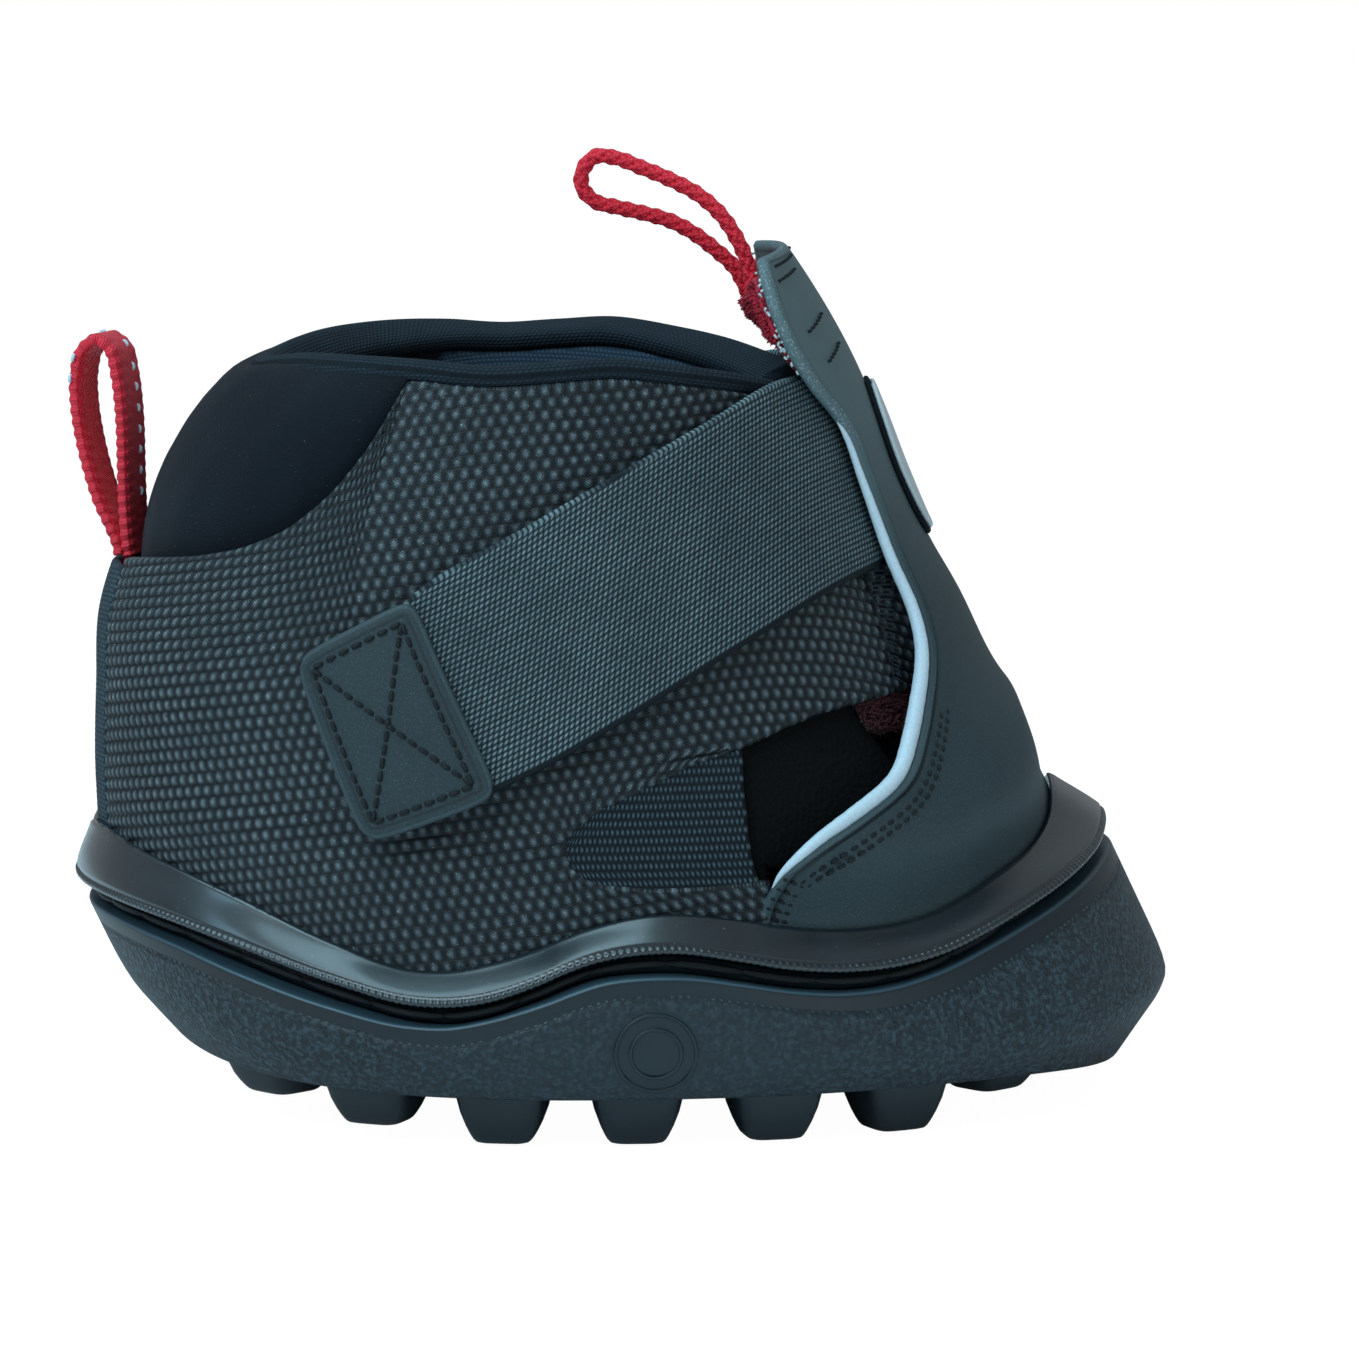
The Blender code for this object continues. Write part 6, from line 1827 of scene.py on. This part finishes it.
# Rows of stitches across the flap: turn and rise of each row's outer end and of its inner end
FLAP_SEAM_SHARES = (((0.139, 0.955), (0.050, 0.961)), ((0.152, 0.940), (0.078, 0.948)),
                    ((0.146, 0.883), (0.078, 0.899)), ((0.133, 0.849), (0.073, 0.866)))
# Long rows on the vamp: rise where each ends, and its distance from the edge
VAMP_SEAMS = ((0.462, 0.0025), (0.475, 0.0037))
VAMP_PITCH = 0.0018
SHORT_PITCH, SHORT_STITCH = 0.0013, 0.0010


def sew_edge(side, low, high, inset, pitch, fill):
    """Stitches in a line that keeps its distance from the cover's edge."""
    edge, along, inside, out = cover_frame(side, np.linspace(low, high, 200))
    path = edge + inside * inset + out * 0.00004
    walked = run_length(path[None], 1)[0] * MM
    pick = np.searchsorted(walked, np.arange(pitch / 2, walked[-1], pitch))
    return path[pick], along[pick], out[pick], pitch * fill


def sew_rows(side, low, high, start, steps, length):
    """Short rows of stitches that run inwards from the cover's edge."""
    edge, _, inside, out = cover_frame(side, np.linspace(low, high, steps))
    count = int(length / SHORT_PITCH)
    shift = start + np.arange(count)[None, :, None] * SHORT_PITCH
    path = edge[:, None] + inside[:, None] * shift
    return path.reshape(-1, 3), np.repeat(inside, count, axis=0), np.repeat(out, count, axis=0), SHORT_STITCH


def sew_cover(side):
    rows = [sew_edge(side, 0.300, end, inset, VAMP_PITCH, 0.80) for end, inset in VAMP_SEAMS]
    rows.append(sew_rows(side, 0.258, 0.300, 0.0004, 5, 0.0042))
    sewn(f"vamp_stitches_{side}", rows, 0.00030, "root")
    high = []
    for (turn, rise), (inner_turn, inner_rise) in FLAP_SEAM_SHARES:
        share = np.linspace(0, 1, 30)
        path = turn + (inner_turn - turn) * share, rise + (inner_rise - rise) * share
        high.append(stitch_path(sided(path[0], side), path[1], COVER_LIFT + 0.0003, 0.00160, 0.36))
    sewn(f"flap_stitches_{side}", high, 0.00028, "flap")


# Rise, turn of the panel's sewn front edge, turn at which the piping covers it
OVERLOCK_SHARES = ((0.505, 0.186, 0.178), (0.535, 0.179, 0.167), (0.568, 0.173, 0.153), (0.620, 0.160, 0.126),
                   (0.640, 0.155, 0.119))


def sew_panel_front(side):
    """An overlock at the panel's front: slanted threads between two lines, closer together lower down."""
    rise = np.linspace(0.508, 0.640, 27)
    rear, front = (np.interp(rise, *np.array(OVERLOCK_SHARES)[:, [0, k]].T) for k in (1, 2))
    ends = []
    for turn, shift in ((rear, 0.0), (front, -0.007)):
        ends.append(on_last(sided(turn, side), rise + shift, front_reach(turn) + OVERLOCK_LIFT))
    length = np.linalg.norm(ends[1] - ends[0], axis=1)
    out = last_normal(sided((rear + front) / 2, side), rise)
    for part in range(3):
        pick = slice(part * 9, part * 9 + 9)
        middle, along = (ends[0][pick] + ends[1][pick]) / 2, unit(ends[1] - ends[0])[pick]
        piece = beans(f"overlock_{side}_{part}", middle, along, out[pick], length[pick].mean(), 0.00013,
                      LOOKS["stay_tape"])
        wear(piece, "root", "stay_tape")
    seam = [stitch_path(sided(rear + 0.002, side), rise, 0.0005, 0.0020, 0.92)]
    sewn(f"overlock_seam_{side}", seam, 0.00024, "root")


def make_window_pile(side):
    """Red pile of the tongue that shows in the upper front corner of the window, in the darker copy of the
    red: painted shade.
    """
    turn, rise = np.meshgrid(np.linspace(0.158, 0.236, 30), np.linspace(0.455, 0.502, 20))
    turn = sided(turn, side)
    lift = -PANEL_THICKNESS
    base, normal = on_last(turn, rise, lift), last_normal(turn, rise)
    fuzz = tufts(f"window_pile_{side}", base, normal, 1200, 12, LOOKS["pile_painted_shade"], 0.0017)
    wear(fuzz, "root", "pile_red")


for side in ("right", "left"):
    sew_tab(side)
    sew_cover(side)
    sew_panel_front(side)
    make_fray(side)
    make_glints(side)
    make_window_pile(side)

# %% [markdown]
# ## Red loops
# The heel loop is flat webbing bent into an upright loop, with a row of white stitches. The front loop is
# a round braid: eight strands, four each way round, that pass over and under one another. A strand's
# radius swings as the cosine of its turning, which puts every crossing one over one.

# %% Heel loop
LOOP_HEIGHT = 0.0314
LOOP_WIDTH = 0.0090
LOOP_THICKNESS = 0.0016
LOOP_TURN = math.radians(16.0)
LOOP_FOOT = (-0.0731, 0.0, 0.0801)
LOOP_PATH_SHARES = np.array((
    (-0.023, -0.035), (-0.032, 0.010), (-0.067, 0.095), (-0.122, 0.207), (-0.171, 0.349), (-0.212, 0.513),
    (-0.237, 0.678), (-0.237, 0.821), (-0.202, 0.937), (-0.131, 0.985), (-0.068, 0.945), (-0.031, 0.821),
    (-0.013, 0.678), (-0.005, 0.537), (-0.003, 0.397), (0.000, 0.254), (0.007, 0.113), (0.016, 0.010),
    (0.023, -0.035)))
DASH_PITCH_MM = 3.1
DASH_LENGTH = 0.00135
# Rows of dashes: height over the webbing's middle, place across it, place across it of the foot that it
# stands on, and the shares of the path where the row starts and ends
LOOP_DASH_ROWS = ((-LOOP_THICKNESS / 2 - 0.0002, 0.0014, 0.0014, 0.50, 0.88),
                  (-0.0004, -LOOP_WIDTH / 2 - 0.0002, 0.0, 0.40, 0.49))


def smooth_path(points, count):
    """A smooth curve through points in space, walked at an even pace."""
    walked = np.concatenate([[0], np.cumsum(np.linalg.norm(np.diff(points, axis=0), axis=1))])
    table = np.column_stack([walked, points])
    share = np.linspace(0, walked[-1], count)
    return np.stack([smooth_read(table, k + 1, share) for k in range(points.shape[1])], axis=1)


def make_heel_loop():
    """A ribbon round the path: twill ribs lean across it, with dashes on its outer face and one edge."""
    path = smooth_path(LOOP_PATH_SHARES * LOOP_HEIGHT, 520)
    tangent = unit(np.gradient(path, axis=0))
    walked = run_length(np.column_stack([path, 0 * path[:, 0]])[None], 1)[0]
    theta = full_circle(48)
    y = blunt(np.cos(theta), 0.35) * LOOP_WIDTH / 2
    n = blunt(np.sin(theta), 0.55) * LOOP_THICKNESS / 2
    weave = brick_dome(walked[:, None] + np.abs(y[None, :]) / MM * 0.7, y[None, :] / MM, 1.7, 1.0)
    n = n[None, :] * (1 + 0.34 * weave)
    rib = 1 + 0.045 * np.sin(2 * np.pi * walked / 1.7)[:, None]
    y = y[None, :] * rib
    cos, sin = math.cos(-LOOP_TURN), math.sin(-LOOP_TURN)

    def placed(n, y):
        x = path[:, :1] + n * tangent[:, 1:]
        z = path[:, 1:] - n * tangent[:, :1]
        return np.array(LOOP_FOOT) + np.stack([x * cos - y * sin, x * sin + y * cos, z], axis=-1)

    rings = placed(n, y)
    spread = np.stack([walked[:, None] + 0 * y, (y + 0 * n) / MM], axis=-1)
    web = loft("loop_webbing", rings, LOOKS["loop_red"], spread)
    wear(web, "heel_loop", "loop_red", "heel_pull_loop")
    dashes = []
    for height, place, foot, first, last in LOOP_DASH_ROWS:
        row = placed(np.full((len(path), 1), height), np.full((len(path), 1), place))[:, 0]
        under = placed(np.zeros((len(path), 1)), np.full((len(path), 1), foot))[:, 0]
        out = unit(row - under)
        along = unit(np.gradient(row, axis=0))
        pick = np.searchsorted(walked, np.arange(first * walked[-1], last * walked[-1], DASH_PITCH_MM))
        dashes.append((row[pick], along[pick], out[pick], DASH_LENGTH))
    sewn("loop_dashes", dashes, 0.00027, "heel_loop", "piping_silver")


make_heel_loop()

# %% Front loop
CORD_ROOT = (0.0184, 0.0, 0.1176)
CORD_POINTS = np.array((
    (0.0012, -0.0018, 0.0002), (0.0010, -0.0018, 0.0024), (0.0002, -0.0017, 0.0054),
    (-0.0014, -0.0016, 0.0088), (-0.0036, -0.0014, 0.0120), (-0.0066, -0.0011, 0.0147),
    (-0.0110, -0.0008, 0.0171), (-0.0154, -0.0004, 0.0189), (-0.0192, -0.0001, 0.0203),
    (-0.0222, 0.0001, 0.0205), (-0.0240, 0.0003, 0.0186), (-0.0242, 0.0006, 0.0160),
    (-0.0224, 0.0009, 0.0139), (-0.0189, 0.0012, 0.0129), (-0.0150, 0.0015, 0.0120),
    (-0.0112, 0.0018, 0.0109), (-0.0079, 0.0020, 0.0092), (-0.0044, 0.0019, 0.0066),
    (-0.0014, 0.0018, 0.0038), (0.0005, 0.0017, 0.0002)))
STRANDS_EACH_WAY = 4
STRAND_RADIUS = 0.00046
BRAID_RADIUS = 0.00066
BRAID_SWING = 0.00011
BRAID_PITCH_MM = 9.0


def make_front_loop():
    """Strands round the path, in two ways; their radius swings as they cross."""
    path = smooth_path(CORD_POINTS + CORD_ROOT, 520)
    walked = run_length(path[None], 1)[0]
    tangent = unit(np.gradient(path, axis=0))
    lean = np.array((0.0, 1.0, 0.0))
    first = unit(np.cross(tangent, lean))
    second = np.cross(tangent, first)
    strands = []
    for way in (1, -1):
        for k in range(STRANDS_EACH_WAY):
            swing = 2 * np.pi * walked / BRAID_PITCH_MM
            angle = (way * swing + 2 * np.pi * k / STRANDS_EACH_WAY)[:, None]
            radius = (BRAID_RADIUS + way * BRAID_SWING * np.cos(STRANDS_EACH_WAY * swing))[:, None]
            centre = path + (first * np.cos(angle) + second * np.sin(angle)) * radius
            rings = tube_rings(centre, STRAND_RADIUS, 8, lean + 0.01)
            spread = np.stack(np.broadcast_arrays(walked[:, None], np.linspace(0, 1, 8)[None, :]), axis=-1)
            strands.append(loft("strand", rings, LOOKS["cord_red"], spread))
    cord = joined("braided_cord", strands)
    wear(cord, "front_loop", "cord_red", "front_pull_loop")


make_front_loop()

# %% [markdown]
# ## What the frame keeps
# A few pieces are out of sight or already right: they stay and only get a finish.

# %% Pieces that stay


def dress(node, look):
    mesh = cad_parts[node].data
    mesh.materials.clear()
    mesh.materials.append(LOOKS[look])


INSOLE_INSET = 0.0068
INSOLE_CROWN = 0.0004
# Of each disc: name, heights of its two faces, finish and node
INSOLES = (("insole_pad", 0.0146, 0.0206, "insole_foam", "insole"),
           ("insole_top", 0.0209, 0.0219, "lining_cloth", "insole_cover"))


def make_insoles():
    """Cover, foam and board fill the cup: the upper two are rounded discs with a soft crown."""
    turn = np.linspace(0, 2, 240, endpoint=False)
    for name, low, high, look, node in INSOLES:
        rings = [last_ring(turn, low, -INSOLE_INSET)]
        rim = last_ring(turn, high, -INSOLE_INSET)
        centre = rim.mean(axis=0)
        for share in np.linspace(1, 0.01, 26):
            ring = centre + (rim - centre) * share
            ring[:, 2] += INSOLE_CROWN * (1 - share**2) - 0.0003 * (share > 0.985)
            rings.append(ring)
        rings = np.stack(rings)
        piece = loft(name, rings, LOOKS[look], rings[..., :2] / MM)
        wear(piece, "root", look, node)


make_insoles()
dress("insole_board", "counter_board")
dress("heel_counter", "counter_board")
dress("heel_loop_anchor", "loop_red")

# %% [markdown]
# ## Floor, backdrop and light
# The photograph's background is white. The floor and the world are white to the camera alone, and light
# the boot only at a plain level, also in its reflections. Four soft lamps, blue as the photograph's light,
# give the shape.

# %% Stage
# Name, place, size, power and colour of each lamp
LAMPS = (
    ("key", (-0.55, -0.95, 0.95), 0.55, 7.2, (0.62, 0.88, 1.0)),
    ("side", (-1.00, -0.55, 0.80), 0.45, 2.4, (0.42, 0.76, 1.0)),
    ("fill", (0.90, -1.00, 0.10), 0.80, 2.2, (0.80, 0.96, 1.0)),
    ("top", (-0.32, -0.06, 1.25), 0.70, 6.8, (0.52, 0.85, 1.0)),
)
AMBIENT = 0.31
AMBIENT_TINT = (0.86, 0.95, 1.0, 1.0)
WHITE = (1.0, 1.0, 1.0, 1.0)
FLOOR_TINT = (0.92, 0.94, 0.95, 1.0)
FLOOR_GLOW = 1.14
FLOOR_WHITE_SHARE = 0.86
FLOOR_REACH = 3.0
FLOOR_DROP = 0.0006


def make_world():
    world = bpy.data.worlds.new("white_room")
    bpy.context.scene.world = world
    world.use_nodes = True
    room = Nodes(world.node_tree)
    plain = room.tree.nodes["Background"]
    room.feed(plain.inputs["Color"], AMBIENT_TINT)
    room.feed(plain.inputs["Strength"], AMBIENT)
    white = room.node("ShaderNodeBackground", None, {"Color": WHITE})
    room.surface("World Output", plain.outputs[0], white, room.seen_directly())


def make_floor():
    finish = Finish("pale_floor")
    finish.done(Base_Color=FLOOR_TINT, Roughness=0.9)
    glow = finish.node("ShaderNodeEmission", None, {"Strength": FLOOR_GLOW})
    share = finish.seen_directly() * FLOOR_WHITE_SHARE
    finish.surface("Material Output", finish.shader.outputs[0], glow, share)
    side = np.linspace(-FLOOR_REACH, FLOOR_REACH, 3)
    x, y = np.meshgrid(side, side)
    floor = mesh_piece("floor", np.stack([x, y, 0 * x - FLOOR_DROP], axis=-1),
                       [quads(grid_corners(3, 3)).reshape(-1, 4)[:, ::-1]], finish.material)


def make_lamps():
    for name, place, size, power, colour in LAMPS:
        data = bpy.data.lights.new(name, "AREA")
        data.size = size
        data.energy = power
        data.color = colour
        lamp = bpy.data.objects.new(name, data)
        lamp.location = place
        lamp.rotation_euler = (CAMERA_TARGET - Vector(place)).to_track_quat("-Z", "Y").to_euler()
        bpy.context.scene.collection.objects.link(lamp)


make_world()
make_floor()
make_lamps()
bpy.context.scene.view_settings.view_transform = "Standard"
